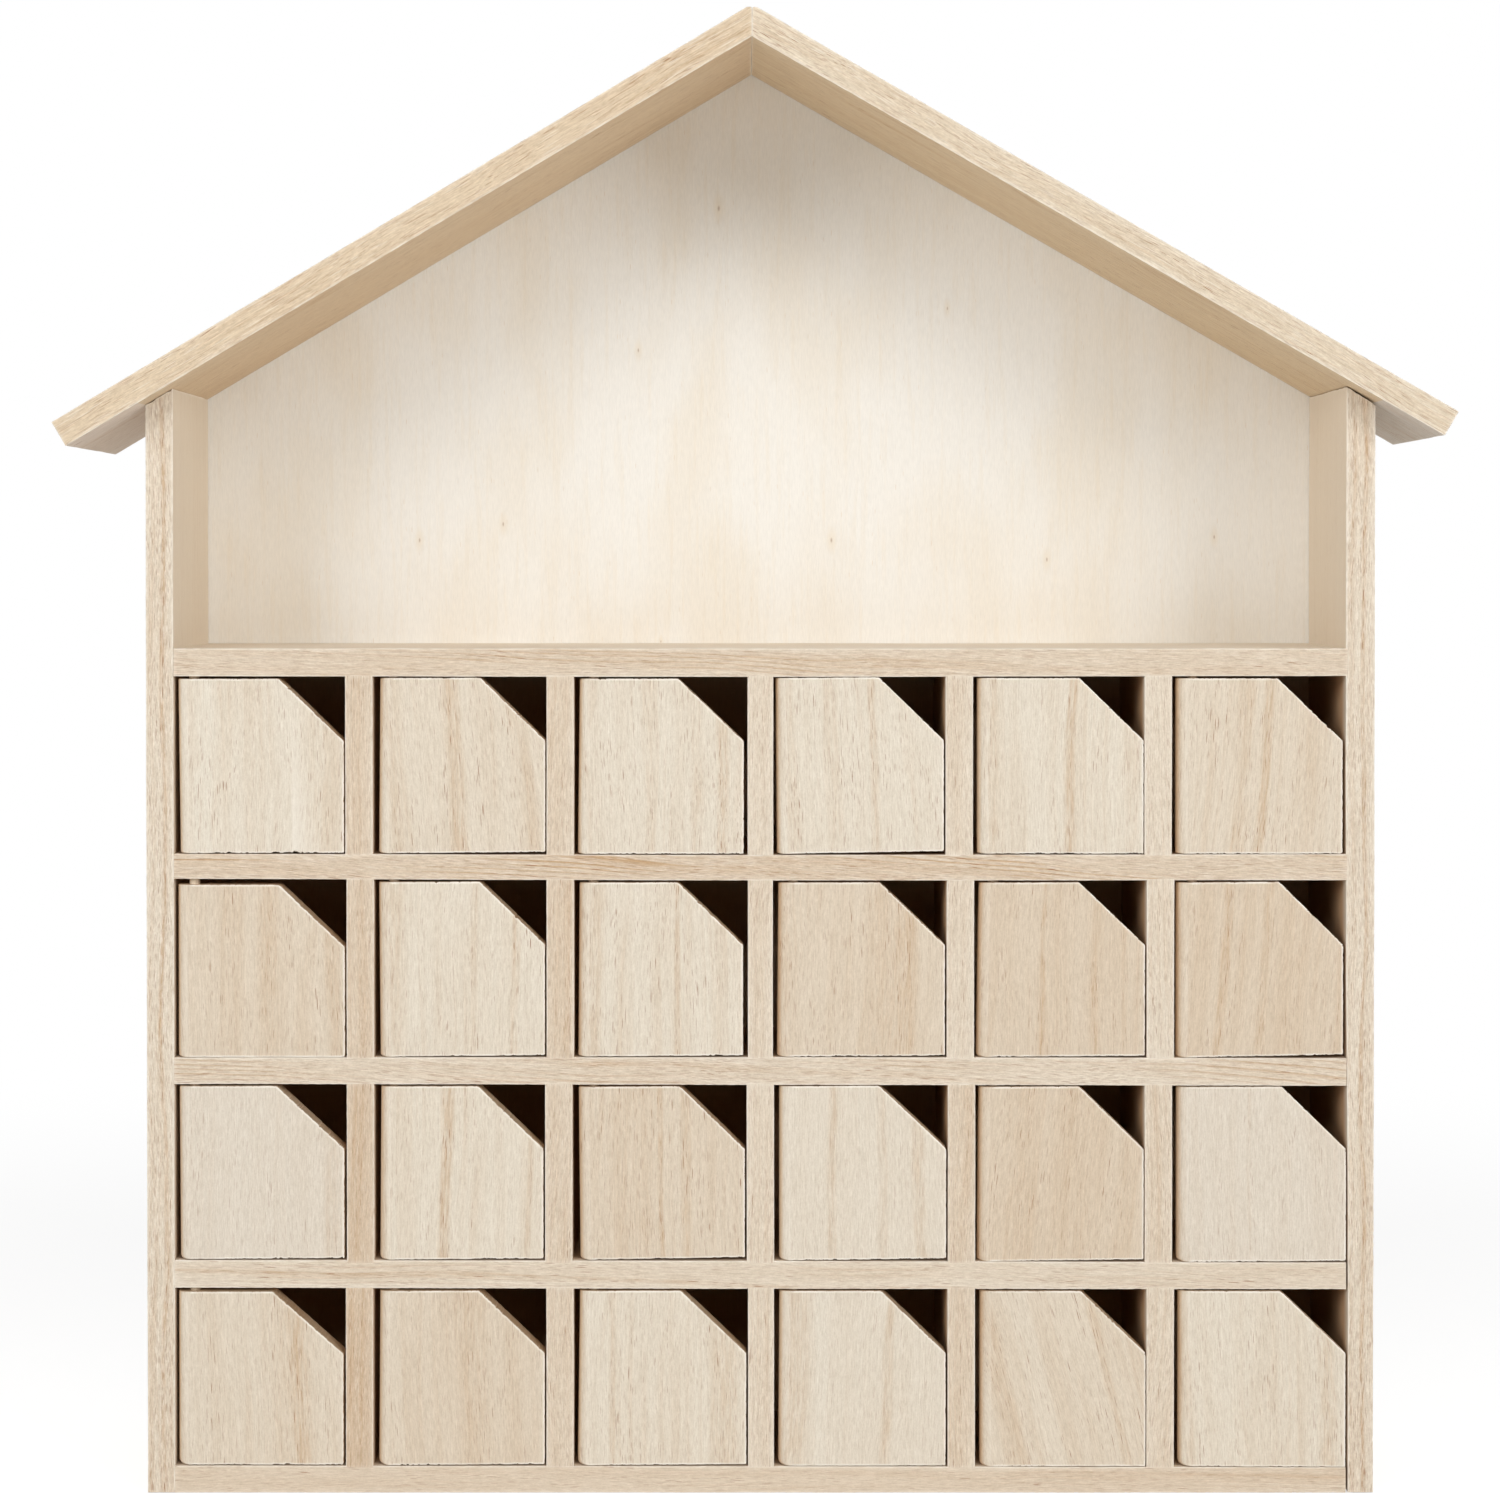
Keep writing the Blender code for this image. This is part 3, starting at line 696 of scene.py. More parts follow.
def place_piece(name, mesh, body, nodes=()):
    item = bpy.data.objects.new(name, mesh)
    bpy.context.scene.collection.objects.link(item)
    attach(item, body)
    if nodes:
        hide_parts(*nodes)
    return item


def node_box(name):
    low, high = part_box(name)
    return np.array(low), np.array(high)


def front_corners(name):
    """The corners of a node's front outline as (x, z), once each."""
    vertices = frame["nodes"][name].data.vertices
    front = min(v.co.y for v in vertices)
    return sorted({(round(v.co.x, 6), round(v.co.z, 6)) for v in vertices if v.co.y < front + 0.1 * MM})


def blend_tone(a, b, share):
    return tuple(x + (y - x) * share for x, y in zip(a, b))


# The case

def shelf(name, seed, slant, sawn, streaks):
    """A board that lies between the side walls, with its grain along X."""
    low, high = node_box(name)
    low[0] -= CAD_GLUE_GAP
    high[0] += CAD_GLUE_GAP
    points, faces, near = worked_box(marks(low[0], high[0]), few_marks(low[1], high[1], 7),
                                     few_marks(low[2], high[2], 3), seed, grain_axis=0, tight=True)
    places = (low[0], (low[0] + high[0]) / 2, high[0])
    rise_above, rise_below = [np.interp(points[:, 0], places, sizes.get(name, (0, 0, 0))) * MM
                              for sizes in (SHELF_TOPS, SHELF_UNDERSIDES)]
    upper = (points[:, 2] - low[2]) / (high[2] - low[2])
    points[:, 2] += upper * rise_above + (1 - upper) * rise_below
    points = wander(points, seed + 10)
    pale = blend_tone(CASE_PALE, CASE_WARM, SHELF_WARMTH[name])
    # the attic floor gets painted light on its upper face
    material = board_wood(f"{name}_wood", pale, CASE_WARM, (low + high) / 2, seed, math.pi / 2, slant,
                          growth=SHELF_FIGURE[name], spacing=1.7, pores=0.9, sawn=sawn, sawn_length=7.0,
                          planed=0.5, streaks=streaks, inner=INNER,
                          top_painted_light=ATTIC_TOP_PAINTED_LIGHT if name == "attic_floor" else None)
    return finish_piece(f"{name}_board", points, faces, near, material, HOUSE, [name])


def divider(row, number):
    """A short upright glued between two shelves."""
    name = f"divider_row{row}_{number}"
    seed = 400 + 17 * (row * COLUMNS + number)
    low, high = node_box(name)
    below = SHELF_BELOW[row]
    low[2] -= CAD_GLUE_GAP - min(0.0, min(SHELF_TOPS[below])) * MM
    above = "attic_floor" if row == 1 else SHELF_BELOW[row - 1]
    high[2] += CAD_GLUE_GAP + max(0.0, max(SHELF_UNDERSIDES[above])) * MM
    thinner = THIN_DIVIDERS.get((row, number), 0.0) * MM
    low[0] += thinner
    high[0] -= thinner
    points, faces, near = worked_box(few_marks(low[0], high[0], 3), few_marks(low[1], high[1], 7),
                                     marks(low[2], high[2]), seed, chips=0.7, tight=True)
    points = wander(points, seed + 10)
    rng = np.random.default_rng(seed)
    points[:, 0] += DIVIDER_SHIFTS.get((row, number), 0.0) * MM
    warmth = WARM_DIVIDERS.get((row, number), rng.uniform(0.0, 0.12))
    pale = blend_tone(CASE_PALE, CASE_WARM, warmth * 0.42)
    streaks = ((rng.uniform(-4, 4), 0.9, 0.5 * warmth + 0.1), (rng.uniform(-4, 4), 0.6, 0.6 * warmth))
    material = board_wood(f"{name}_wood", pale, CASE_WARM, (low + high) / 2, seed, slant=rng.uniform(-3, 3),
                          growth=0.15, spacing=2.0, pores=0.9, sawn=0.55, planed=0.5, streaks=streaks,
                          inner=INNER)
    return finish_piece(f"{name}_board", points, faces, near, material, HOUSE, [name])


def side_wall(name, seed):
    """A side wall, its top sawn to the slope of the roof and left ragged."""
    low, high = node_box(name)
    corners = front_corners(name)
    tops = sorted(corners, key=lambda corner: corner[1])[-2:]
    (xa, za), (xb, zb) = sorted(tops)
    points, faces, near = worked_box(marks(low[0], high[0], 0.8 * MM), few_marks(low[1], high[1], 16),
                                     marks(low[2], high[2]), seed, chips=1.3)
    top = za + (points[:, 0] - xa) * (zb - za) / (xb - xa) + CAD_GLUE_GAP
    torn = np.clip(noise_at(points * (1, 0.35, 0), 0.8 * MM, seed + 6) + 0.1, 0, 1)
    torn *= np.clip(noise_at(points * (1, 0.5, 0), 4 * MM, seed + 7) + 0.5, 0, 1)
    torn *= np.exp(-(points[:, 1] - low[1]) / (2.0 * MM))
    top = top - WALL_TOP_RAG * torn
    points[:, 2] = low[2] + (points[:, 2] - low[2]) * (top - low[2]) / (high[2] - low[2])
    if name == "right_wall":
        inward = (high[0] - points[:, 0]) / (high[0] - low[0])
        points[:, 0] += inward * np.interp(points[:, 2], *zip(*RIGHT_WALL_LEAN)) * MM
    points = wander(points, seed + 10)
    material = board_wood(f"{name}_wood", CASE_PALE, CASE_WARM, (low + high) / 2, seed, growth=0.2, pores=0.9,
                          sawn=1.0, planed=0.3, streaks=((1.2, 0.7, 0.9), (-2.2, 0.7, 0.3)), inner=INNER)
    return finish_piece(f"{name}_board", points, faces, near, material, HOUSE, [name])


def roof_board(name, side, seed):
    """A roof board, mitred at the ridge, with its grain along the slope. side is -1 for the left."""
    low, high = node_box(name)
    ridge_side_first = sorted(front_corners(name), key=lambda corner: side * corner[0])
    seam_low, seam_top = [np.array(c) for c in sorted(ridge_side_first[:2], key=lambda corner: corner[1])]
    blunted, under_eave, eave = [np.array(corner) for corner in ridge_side_first[2:]]
    down_slope = (eave - blunted) / np.linalg.norm(eave - blunted)
    thickness = np.linalg.norm(eave - under_eave)
    outward = (eave - under_eave) / thickness
    length = (under_eave - seam_low) @ down_slope
    points, faces, near = worked_box(
        marks(0.0, length), few_marks(low[1], high[1], 9), few_marks(0.0, thickness, 5), seed, grain_axis=0)
    along, depth, height = points.T

    # Every line of fibres starts on the upright seam or, near the outer face, on the blunted ridge
    seam_start = height * (outward[0] / -down_slope[0])
    flat_start = (seam_top[1] - seam_low[1] - height * outward[1]) / down_slope[1]
    start = np.maximum(seam_start, flat_start) - SEAM_SHARE * CAD_GLUE_GAP / abs(down_slope[0])
    along = start + along * (length - start) / length
    outline = seam_low + along[:, None] * down_slope + height[:, None] * outward
    points = wander(np.stack((outline[:, 0], depth, outline[:, 1]), axis=1), seed + 10)
    pitch = math.atan2(-down_slope[1], abs(down_slope[0]))
    eave_begins = abs(node_box("left_wall")[0][0] if side < 0 else node_box("right_wall")[1][0])
    # the undersides get painted bounce light outside the walls and painted shade inside them
    material = board_wood(f"{name}_wood", ROOF_PALE[side], ROOF_WARM, (low + high) / 2, seed,
                          math.pi / 2 - side * pitch, growth=0.30, spacing=2.2, pores=1.0, sawn=0.9,
                          sawn_length=14.0, planed=1.0,
                          eave=(eave_begins, EAVE_PAINTED_BOUNCE_LIGHT[side], UNDER_ROOF_PAINTED_SHADE[side]))
    return finish_piece(f"{name}_board", points, faces, near, material, HOUSE, [name])


def back_sheet():
    """The thin panel behind the house, with its top sawn to both slopes."""
    low, high = node_box("back_panel")
    high[1] -= NAIL_ROOM
    corners = front_corners("back_panel")
    ridge = max(corners, key=lambda corner: corner[1])
    left, right = [max((c for c in corners if abs(c[0] - x) < 1 * MM), key=lambda c: c[1])
                   for x in (low[0], high[0])]
    xs = np.union1d(marks(low[0], high[0], 4 * MM), [round(ridge[0], 7)])
    points, faces, near = worked_box(xs, few_marks(low[1], high[1], 2), marks(low[2], high[2], 4 * MM), 70,
                                     chips=0.5)
    top = np.interp(points[:, 0], [left[0], ridge[0], right[0]], [left[1], ridge[1], right[1]])
    points[:, 2] = low[2] + (points[:, 2] - low[2]) * (top - low[2]) / (high[2] - low[2])
    return finish_piece("back_panel_sheet", points, faces, near, panel_veneer(low), HOUSE,
                        ["back_panel"])


# The doors

def eased_outline(corners, eases, counts, curve=7):
    """Points round a polygon whose corners are eased by short curves. counts has how many points
    each side gets. Also gives the side of each point, a corner counting with the side after it."""
    points, sides = [], []
    for i, corner in enumerate(corners):
        following = (i + 1) % len(corners)
        back = (corners[i - 1] - corner) / np.linalg.norm(corners[i - 1] - corner)
        ahead = corners[following] - corner
        length = np.linalg.norm(ahead)
        start, end = corner + back * eases[i], corner + ahead / length * eases[i]
        for t in np.linspace(0, 1, curve):
            points.append((1 - t) ** 2 * start + 2 * t * (1 - t) * corner + t * t * end)
        run_end = corner + ahead * (1 - eases[following] / length)
        for t in np.linspace(0, 1, counts[i] + 2)[1:-1]:
            points.append(end + t * (run_end - end))
        sides += [i] * (curve + counts[i])
    return np.array(points), np.array(sides)


def inset_corners(corners, amount):
    """The corners of the polygon whose sides all lie this much further in."""
    moved = []
    for i, corner in enumerate(corners):
        before = corner - corners[i - 1]
        after = corners[(i + 1) % len(corners)] - corner
        before, after = before / np.linalg.norm(before), after / np.linalg.norm(after)
        turn = before[0] * after[1] - before[1] * after[0]
        moved.append(corner + amount * (after - before) / turn)
    return moved


def door_corners(number, low, high, pivot, rng):
    """The front outline from the lower hinge corner round: below, free side, cut, top, hinge side."""
    row, column = divmod(number - 1, COLUMNS)
    opening_left = pivot[0] - PIVOT_FROM_OPENING
    opening_right = opening_left + OPENING_WIDTH
    before, after = (row + 1, column), (row + 1, column + 1)
    opening_left += (DIVIDER_SHIFTS.get(before, 0.0) - THIN_DIVIDERS.get(before, 0.0)) * MM
    opening_right += (DIVIDER_SHIFTS.get(after, 0.0) + THIN_DIVIDERS.get(after, 0.0)) * MM
    if column == COLUMNS - 1:
        opening_right += np.interp(pivot[2], *zip(*RIGHT_WALL_LEAN)) * MM
    shelf_below, shelf_above = low[2] + PIN_REACH, high[2] - PIN_REACH
    across = np.interp(column, (0, (COLUMNS - 1) / 2, COLUMNS - 1), SHELF_TOPS[SHELF_BELOW[row + 1]])
    shelf_below += across * MM
    hinge_gap = HINGE_GAPS.get(number, USUAL_HINGE_GAP) * MM
    lean = HINGE_LEANS.get(number, 0.0) * MM
    left_top, left_bottom = opening_left + hinge_gap, opening_left + hinge_gap + lean
    right = opening_right - LATCH_GAPS.get(number, USUAL_LATCH_GAP) * MM
    rise = RISES.get(number, USUAL_RISE) * MM
    bottom = shelf_below + (rng.uniform(0.12, 0.3) * MM if rise >= 0 else 0.12 * MM - rise)
    top = shelf_above - TOP_GAPS.get(number, USUAL_TOP_GAP) * MM
    grip_width = GRIP_WIDTHS.get(number, USUAL_GRIP_WIDTH + rng.uniform(-0.3, 0.3)) * MM
    grip_start = right - grip_width
    top_rise = min(0.3 * rise, 0.3 * MM)
    return [np.array(corner) for corner in ((left_bottom, bottom), (right, bottom + rise),
                                            (right, top - GRIP_HEIGHT), (grip_start, top + top_rise),
                                            (left_top, top))]


def torn_edge(run, side, number, seed):
    """How far the sawn edge has broken away at each point: fine raggedness and a few chips."""
    spots = np.stack((run, 0 * run, 0 * run), axis=1)
    below = RAGGED_BELOW.get(number, 1.0)
    uneven = noise_at(spots, 0.9 * MM, seed) + 0.5 * noise_at(spots, 0.5 * MM, seed + 1)
    ragged = np.clip((uneven - 0.1) / 0.6, 0, 1) * np.array([0.14 * below, 0.12, 0.16, 0.12, 0.05])[side]
    seldom = np.clip(noise_at(spots, 7 * MM, seed + 3) + 0.45, 0, 1)
    rng = np.random.default_rng(seed)
    often = np.array([0.30 * below, 0.12, 0.14, 0.14, 0.0])[side]
    jag = rng.uniform(0.3, 1.0, len(run)) * np.array([0.40, 0.22, 0.40, 0.30, 0.0])[side]
    jag *= rng.random(len(run)) < often
    return (ragged + jag * seldom) * MM


def door(number):
    """A door: rings of points round its outline, from the front face to the back face."""
    name = f"door_{number:02d}"
    seed = 1000 + 37 * number
    rng = np.random.default_rng(seed)
    row = (number - 1) // COLUMNS
    low, high = node_box(name)
    pivot = next(joint for joint in frame["joints"] if joint["child"] == name)["pos_m"]
    corners = door_corners(number, low, high, pivot, rng)
    hinge_ease, free_ease, top_ease = rng.uniform(0.3, 0.8), rng.uniform(0.3, 0.8), rng.uniform(0.3, 0.6)
    eases = np.array([hinge_ease + 0.35 * row, free_ease, 0.5, 0.5, top_ease]) * MM
    lengths = [np.linalg.norm(corners[(i + 1) % 5] - corner) for i, corner in enumerate(corners)]
    counts = [round(length / DOOR_STEP) for length in lengths]
    outline, side = eased_outline(corners, eases, counts)
    steps = np.linalg.norm(np.roll(outline, -1, axis=0) - outline, axis=1)
    run = np.cumsum(steps) - steps
    torn = torn_edge(run, side, number, seed)
    tangent = np.roll(outline, -1, axis=0) - np.roll(outline, 1, axis=0)
    tangent /= np.linalg.norm(tangent, axis=1, keepdims=True)
    outward = np.stack((tangent[:, 1], -tangent[:, 0]), axis=1)
    hinge_x = np.interp(outline[:, 1], [corners[0][1], corners[4][1]], [corners[0][0], corners[4][0]])
    from_hinge = outline[:, 0] - hinge_x
    rounded = np.clip(1 - from_hinge / HINGE_RADIUS, 0, 1)
    drawn_in = np.clip(1 - from_hinge / (2 * HINGE_RADIUS), 0, 1)
    front = pivot[1] - HINGE_RADIUS
    thickness = 2 * HINGE_RADIUS

    near_front = np.array([0, 0.05, 0.12, 0.25, 0.5, 0.9, 1.4, 1.9, 2.4]) * MM
    depths = np.concatenate((near_front, [HINGE_RADIUS], thickness - near_front[::-1]))
    rings, edges = [], []
    for depth, angle in zip(depths, np.radians(np.linspace(0, 180, len(depths)))):
        from_face = min(depth, thickness - depth)
        bow = DOOR_ARRIS - math.sqrt(max(DOOR_ARRIS ** 2 - max(DOOR_ARRIS - from_face, 0) ** 2, 0))
        breaks = 0.45 + 0.55 * math.exp(-depth / (1.6 * MM))
        inward = (bow + torn * breaks) * (1 - rounded)
        ring = outline - outward * inward[:, None]
        ring[:, 0] += HINGE_RADIUS * (1 - math.sin(angle)) * drawn_in
        y = front + depth + (HINGE_RADIUS * (1 - math.cos(angle)) - depth) * rounded
        rings.append(np.stack((ring[:, 0], y, ring[:, 1]), axis=1))
        edges.append(math.exp(-from_face / (0.12 * MM)) * (1 - 0.8 * rounded))
    inner_eases = np.maximum(eases - CAP_BORDER, 0.05 * MM)
    inner, _ = eased_outline(inset_corners(corners, CAP_BORDER), inner_eases, counts)
    inner[:, 0] += HINGE_RADIUS * np.clip(1 - (inner[:, 0] - hinge_x) / (2 * HINGE_RADIUS), 0, 1)
    caps = [np.stack((inner[:, 0], np.full(len(inner), y), inner[:, 1]), axis=1)
            for y in (front, front + thickness)]
    rings = [caps[0]] + rings + [caps[1]]
    plain = np.zeros(len(inner))
    # patchy pale arrises, torn fibres in part and painted highlight in part
    patchy_fibres_and_highlight = np.clip(0.85 + 0.6 * noise_at(np.stack((run, 0 * run, 0 * run), axis=1), 3 * MM, seed + 5), 0, 1)
    near = np.concatenate([plain] + [edge * patchy_fibres_and_highlight for edge in edges] + [plain])

    count = len(outline)
    place = np.arange(count)
    ahead = np.roll(place, -1)
    faces = [list(place), list(place[::-1] + count * (len(rings) - 1))]
    for ring in range(len(rings) - 1):
        here, behind = ring * count, (ring + 1) * count
        faces += np.stack((place + here, place + behind, ahead + behind, ahead + here), axis=1).tolist()
    centre = ((corners[0][0] + corners[1][0]) / 2, pivot[1], (corners[0][1] + corners[3][1]) / 2)
    finish_piece(f"{name}_panel", np.concatenate(rings), faces, near, door_wood(number, centre), name,
                 [name])
    door_pins(name, pivot, low[2], low[2] + PIN_REACH, high[2] - PIN_REACH, high[2])
    door_fibres(number, outline, outward, side, front)


def door_wood(number, centre):
    """Each door is sawn from another board, so each has its own shade and figure."""
    rng = np.random.default_rng(500 + number)
    pale = blend_tone(DOOR_PALE, DOOR_WARM, WARMER_DOORS.get(number, 0.0))
    pale = blend_tone(pale, DOOR_GREY, GREYER_DOORS.get(number, 0.0))
    calm = number in GREYER_DOORS
    # its narrow sides get painted shade
    return board_wood(f"door_{number:02d}_wood", pale, DOOR_WARM, centre, 500 + number,
                      slant=DOOR_SLANTS.get(number, rng.uniform(-1.2, 1.2)), growth=0.05 if calm else 0.12,
                      bands=0.05 if calm else rng.uniform(0.08, 0.14),
                      pores=0.5 if calm else rng.uniform(0.75, 1.0),
                      streaks=STREAKS[number], side_painted_shade=DOOR_SIDE_SHADE)


def door_pins(name, pivot, lowest, below, above, highest):
    """The dowel pins that a door turns on: one stands in the board above, one in the board below."""
    spans = {"upper": (above - PIN_IN_DOOR, highest), "lower": (lowest, below + PIN_IN_DOOR)}
    for place, (start, end) in spans.items():
        bm = bmesh.new()
        bmesh.ops.create_cone(bm, cap_ends=True, segments=28, radius1=PIN_RADIUS, radius2=PIN_RADIUS,
                              depth=end - start)
        bmesh.ops.translate(bm, verts=bm.verts, vec=(pivot[0], pivot[1], (start + end) / 2))
        rims = [edge for edge in bm.edges if any(abs(face.normal.z) > 0.9 for face in edge.link_faces)]
        bmesh.ops.bevel(bm, geom=rims, offset=0.2 * MM, segments=2, affect="EDGES", profile=0.5)
        mesh = bpy.data.meshes.new(f"{name}_{place}_pin")
        bm.to_mesh(mesh)
        bm.free()
        mesh.materials.append(DOWEL)
        mesh.shade_smooth()
        mesh.set_sharp_from_angle(angle=math.radians(40))
        place_piece(f"{name}_{place}_pin", mesh, name)


# Nails and staples, set out by Geometry Nodes

NAIL_ROOM = 0.15 * MM  # the back panel is this much thinner, so that what holds it stays inside the outline
HEAD_RADIUS = 0.75 * MM
HEAD_PROUD = 0.07 * MM
CROWN_LENGTH = 10.0 * MM
CROWN_RADIUS = 0.45 * MM
CROWN_PROUD = 0.12 * MM
FIBRE_RADIUS = 0.06 * MM


def galvanised_steel():
    """Dull grey steel, a little blotched."""
    material, wire, shader = blank_material("galvanised_steel")
    spot = wire.scale(wire.node("ShaderNodeTexCoord").outputs["Object"], 1 / MM)
    blotch = wire.grain(spot, 0.6, 0.6, detail=3.0)
    wire.feed(shader.inputs["Base Color"], wire.blend(blotch, srgb(112, 112, 114), srgb(176, 177, 180)))
    wire.feed(shader.inputs["Roughness"], wire.math("MULTIPLY_ADD", blotch, 0.3, 0.3))
    shader.inputs["Metallic"].default_value = 1.0
    return material


def scatter_tree(name, shape):
    """Puts a nail head, a staple's crown or a torn fibre on each point of a mesh, turned and
    stretched as the point says."""
    tree = bpy.data.node_groups.new(name, "GeometryNodeTree")
    tree.interface.new_socket("Geometry", in_out="INPUT", socket_type="NodeSocketGeometry")
    for label in ("Radius", "Length", "Flatness"):
        tree.interface.new_socket(label, in_out="INPUT", socket_type="NodeSocketFloat")
    tree.interface.new_socket("Material", in_out="INPUT", socket_type="NodeSocketMaterial")
    tree.interface.new_socket("Geometry", in_out="OUTPUT", socket_type="NodeSocketGeometry")
    wire = Wiring(tree)
    given = wire.node("NodeGroupInput").outputs
    if shape == "fibre":
        bar = wire.node("GeometryNodeMeshCone", {"Vertices": 4, "Radius Top": 0.0,
                                                 "Radius Bottom": given["Radius"], "Depth": given["Length"]})
    else:
        sides = 12 if shape == "staple" else 20
        bar = wire.node("GeometryNodeMeshCylinder", {"Vertices": sides, "Radius": given["Radius"],
                                                     "Depth": given["Length"]})
    turn = (0.0, math.pi / 2, 0.0) if shape == "staple" else (0.0, 0.0, 0.0)
    laid = wire.node("GeometryNodeTransform", {"Geometry": bar.outputs["Mesh"], "Rotation": turn})
    squash = wire.node("ShaderNodeCombineXYZ", {"X": 1.0, "Y": 1.0, "Z": given["Flatness"]})
    shaped = wire.node("GeometryNodeTransform", {"Geometry": laid.outputs[0], "Scale": squash.outputs[0]})
    facing, size = [wire.node("GeometryNodeInputNamedAttribute", {"Name": label}, data_type="FLOAT_VECTOR")
                    for label in ("turn", "size")]
    spread = {"Points": given["Geometry"], "Instance": shaped.outputs[0],
              "Rotation": facing.outputs["Attribute"], "Scale": size.outputs["Attribute"]}
    copies = wire.node("GeometryNodeInstanceOnPoints", spread)
    real = wire.node("GeometryNodeRealizeInstances", {"Geometry": copies.outputs[0]})
    painted = wire.node("GeometryNodeSetMaterial", {"Geometry": real.outputs[0],
                                                    "Material": given["Material"]})
    out = wire.node("NodeGroupOutput")
    wire.feed(out.inputs[0], painted.outputs[0])
    return tree


def set_out(name, tree, spots, turns, radius, length, flatness=1.0, stretches=None, material=None, body=HOUSE):
    """Runs the tree on the given points and keeps the result as one plain mesh."""
    seeds = bpy.data.meshes.new(f"{name}_points")
    seeds.from_pydata([tuple(spot) for spot in spots], [], [])
    sizes = np.ones((len(spots), 3))
    if stretches is not None:
        sizes[:, 2] = stretches
    for label, rows in (("turn", turns), ("size", sizes)):
        attribute = seeds.attributes.new(label, "FLOAT_VECTOR", "POINT")
        attribute.data.foreach_set("vector", np.array(rows, np.float32).ravel())
    holder = bpy.data.objects.new(f"{name}_points", seeds)
    bpy.context.scene.collection.objects.link(holder)
    modifier = holder.modifiers.new("set_out", "NODES")
    modifier.node_group = tree
    values = {"Radius": radius, "Length": length, "Flatness": flatness, "Material": material or STEEL}
    for socket in tree.interface.items_tree:
        if socket.in_out == "INPUT" and socket.name in values:
            modifier[socket.identifier] = values[socket.name]
    shown = holder.evaluated_get(bpy.context.evaluated_depsgraph_get())
    mesh = bpy.data.meshes.new_from_object(shown)
    mesh.name = name
    holder.modifiers.remove(modifier)
    bpy.data.objects.remove(holder)
    mesh.shade_smooth()
    mesh.set_sharp_from_angle(angle=math.radians(40))
    place_piece(name, mesh, body)


def fibre_wood():
    """Pale torn wood."""
    material, wire, shader = blank_material("torn_fibres")
    spot = wire.scale(wire.node("ShaderNodeTexCoord").outputs["Object"], 1 / MM)
    patch = wire.grain(spot, 3.0, 3.0)
    wire.feed(shader.inputs["Base Color"], wire.blend(patch, TORN_CREAM, srgb(226, 206, 178)))
    wire.feed(shader.inputs["Roughness"], wire.math("MULTIPLY_ADD", patch, 0.2, 0.6))
    return material


class Tufts:
    """Gathers torn fibres for one mesh. Each stands off an arris, leaning along it and forward."""

    def __init__(self, seed):
        self.rng = np.random.default_rng(seed)
        self.spots, self.turns, self.lengths = [], [], []

    def add(self, spot, away, along, longest):
        lean = Vector(away) * 0.6 + Vector(along) * self.rng.uniform(-1, 1)
        lean += Vector((0, self.rng.uniform(-0.9, 0.0), 0))
        self.spots.append(Vector(spot) - Vector(away) * 0.08 * MM)
        self.turns.append(tuple(lean.to_track_quat("Z", "Y").to_euler()))
        self.lengths.append(longest * self.rng.uniform(0.4, 1.0))

    def finish(self, name, body):
        set_out(name, FIBRE_TREE, self.spots, self.turns, FIBRE_RADIUS, 1 * MM, stretches=self.lengths,
                material=FIBRES, body=body)


def door_fibres(number, outline, outward, side, front):
    """Torn fibres below a door, on its free side, along its cut and at its top."""
    tufts = Tufts(2000 + number)
    often = np.array([0.05 * RAGGED_BELOW.get(number, 1.0), 0.05, 0.07, 0.04, 0.0])[side]
    for index in np.flatnonzero(tufts.rng.random(len(side)) < often):
        x, z = outline[index]
        off_x, off_z = outward[index]
        longest = (0.22, 0.28, 0.75, 0.35, 0.1)[side[index]]
        depth = front + tufts.rng.uniform(0.1, 0.5) * MM
        tufts.add((x, depth, z), (off_x, 0, off_z), (-off_z, 0, off_x), longest)
    name = f"door_{number:02d}"
    tufts.finish(f"{name}_fibres", name)


def case_fibres():
    """Torn fibres on the front arrises of the boards round the compartments."""
    tufts = Tufts(88)
    for row, number in itertools.product(range(1, ROWS + 1), range(1, COLUMNS)):
        low, high = node_box(f"divider_row{row}_{number}")
        shift = DIVIDER_SHIFTS.get((row, number), 0.0) * MM
        thinner = THIN_DIVIDERS.get((row, number), 0.0) * MM
        for _ in range(9 if shift < 0.2 * MM else 0):
            z = tufts.rng.uniform(low[2] + 2 * MM, high[2] - 2 * MM)
            tufts.add((high[0] + shift - thinner, low[1] + 0.15 * MM, z), (1, 0, 0), (0, 0, 1), 0.45)
        for _ in range(4):
            z = tufts.rng.uniform(high[2] - 16 * MM, high[2] - 2 * MM)
            tufts.add((low[0] + shift + thinner, low[1] + 0.15 * MM, z), (-1, 0, 0), (0, 0, 1), 0.35)
    for name in ("attic_floor", "shelf_1", "shelf_2", "shelf_3"):
        low, high = node_box(name)
        places = (low[0], (low[0] + high[0]) / 2, high[0])
        for _ in range(70):
            x = tufts.rng.uniform(low[0] + 2 * MM, high[0] - 2 * MM)
            z = low[2] + np.interp(x, places, SHELF_UNDERSIDES[name]) * MM
            tufts.add((x, low[1] + 0.15 * MM, z), (0, 0, -1), (1, 0, 0), 0.30)
    tufts.finish("case_fibres", HOUSE)


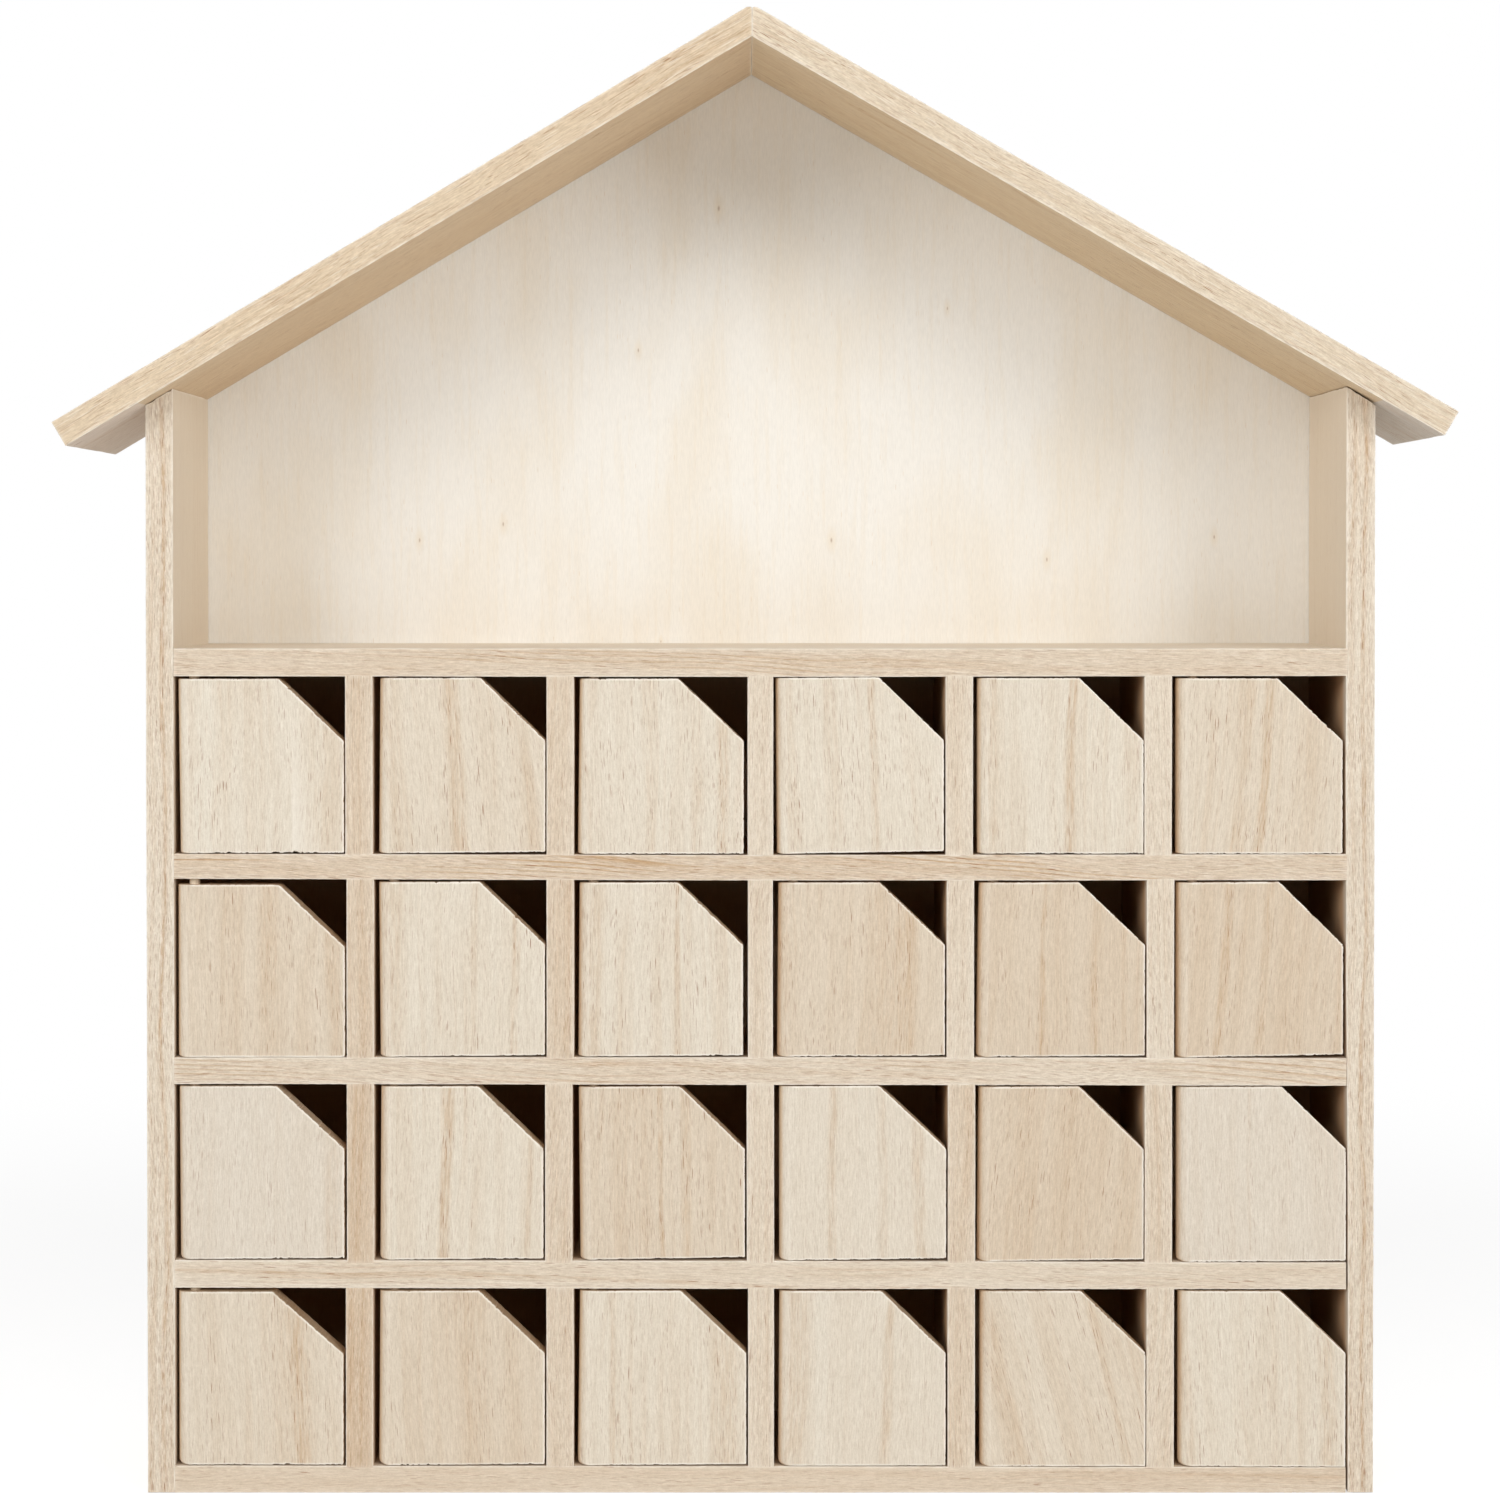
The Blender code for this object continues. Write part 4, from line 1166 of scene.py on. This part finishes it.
def wall_nails():
    """Two nails through each side wall into the end of every board that lies between the walls."""
    spots, turns = [], []
    for wall, side in (("left_wall", -1), ("right_wall", 1)):
        low, high = node_box(wall)
        face = low[0] if side < 0 else high[0]
        for board in ("base_board", "shelf_3", "shelf_2", "shelf_1", "attic_floor"):
            board_low, board_high = node_box(board)
            for share in (0.22, 0.80):
                rng = np.random.default_rng(len(spots))
                y = low[1] + share * (high[1] - low[1]) + rng.uniform(-1, 1) * MM
                z = (board_low[2] + board_high[2]) / 2 + rng.uniform(-0.8, 0.8) * MM
                spots.append((face + side * HEAD_PROUD / 2, y, z))
                turns.append((0.0, math.pi / 2, 0.0))
    set_out("wall_nails", NAIL_TREE, spots, turns, HEAD_RADIUS, HEAD_PROUD * 2)


def roof_nails():
    """Nails through each roof board into the top of the wall under it."""
    spots, turns = [], []
    for name, wall, side in (("roof_left", "left_wall", -1), ("roof_right", "right_wall", 1)):
        corners = sorted(front_corners(name), key=lambda corner: side * corner[0])
        blunted, eave = np.array(corners[2]), np.array(corners[4])
        slope = (eave - blunted) / np.linalg.norm(eave - blunted)
        low, high = node_box(wall)
        x = (low[0] + high[0]) / 2
        z = blunted[1] + (x - blunted[0]) * slope[1] / slope[0]
        pitch = math.atan2(-slope[1], abs(slope[0]))
        for share in (0.16, 0.50, 0.84):
            spots.append((x, low[1] + share * (high[1] - low[1]), z))
            turns.append((0.0, side * pitch, 0.0))
    set_out("roof_nails", NAIL_TREE, spots, turns, HEAD_RADIUS, HEAD_PROUD * 2)


def back_staples():
    """Staples round the back panel and along the shelves, each a little askew."""
    low, high = node_box("back_panel")
    wall_low, wall_high = node_box("left_wall")
    inset = (wall_high[0] - wall_low[0]) / 2
    rng = np.random.default_rng(77)
    spots, turns = [], []

    def staple(x, z, angle):
        spots.append((x + rng.uniform(-0.6, 0.6) * MM, high[1] - NAIL_ROOM, z + rng.uniform(-0.8, 0.8) * MM))
        turns.append((math.pi / 2, angle + math.radians(rng.uniform(-6, 6)), 0.0))

    for z in np.linspace(low[2] + 24 * MM, wall_high[2] - 16 * MM, 6):
        staple(low[0] + inset, z, math.pi / 2)
        staple(high[0] - inset, z, math.pi / 2)
    for board in ("base_board", "shelf_2", "attic_floor"):
        board_low, board_high = node_box(board)
        for x in np.linspace(low[0] + 60 * MM, high[0] - 60 * MM, 4):
            staple(x, (board_low[2] + board_high[2]) / 2, 0.0)
    set_out("back_staples", STAPLE_TREE, spots, turns, CROWN_RADIUS, CROWN_LENGTH, CROWN_PROUD / CROWN_RADIUS)


# What the frame tells of the openings
first_divider, second_divider = node_box("divider_row1_1"), node_box("divider_row1_2")
OPENING_WIDTH = second_divider[0][0] - first_divider[1][0]
pivot_two = next(joint for joint in frame["joints"] if joint["child"] == "door_02")["pos_m"]
PIVOT_FROM_OPENING = pivot_two[0] - first_divider[1][0]
PIN_REACH = node_box("door_02")[1][2] - node_box("attic_floor")[0][2]
# Bounds of the closed compartments, inside which the colour is darkened as painted shade
INNER = (node_box("attic_floor")[0][1], node_box("attic_floor")[1][2] - 2 * MM,
         node_box("right_wall")[0][0] + 2 * MM)

camera()
studio_world(0.62)
floor()
softbox("left_softbox", (-1.90, -1.90, 1.30), (0, 0, 0.2), 1.4, 1.3, 33.5)
softbox("right_softbox", (1.90, -1.90, 1.30), (0, 0, 0.2), 1.4, 1.3, 34.5)
softbox("front_softbox", (0, -2.20, 1.60), (0, 0, 0.2), 2.0, 0.9, 14.4)

PAULOWNIA = paulownia_group()
DOWEL = board_wood("dowel_wood", PIN_PALE, PIN_WARM, (0, 0, 0), 11)
STEEL = galvanised_steel()
NAIL_TREE = scatter_tree("nail_heads", "nail")
STAPLE_TREE = scatter_tree("staple_crowns", "staple")
FIBRE_TREE = scatter_tree("fibres", "fibre")
FIBRES = fibre_wood()

side_wall("left_wall", 101)
side_wall("right_wall", 131)
shelf("base_board", 200, 0.6, 0.25, ((2.0, 1.2, 0.2),))
shelf("shelf_3", 231, 1.5, 0.35, ((-2.6, 0.6, 0.7), (1.5, 1.5, 0.15)))
shelf("shelf_2", 262, 3.0, 0.7, ((0.5, 1.0, 0.4), (-2.5, 0.8, 0.3)))
shelf("shelf_1", 293, 4.0, 0.8, ((-1.0, 1.6, 0.55), (2.4, 0.9, 0.35)))
shelf("attic_floor", 324, 2.0, 0.6, ((1.0, 1.5, 0.35), (-2.0, 1.0, 0.3)))
for row in range(1, ROWS + 1):
    for number in range(1, COLUMNS):
        divider(row, number)
roof_board("roof_left", -1, 901)
roof_board("roof_right", 1, 931)
back_sheet()
for number in range(1, ROWS * COLUMNS + 1):
    door(number)
case_fibres()
wall_nails()
roof_nails()
back_staples()
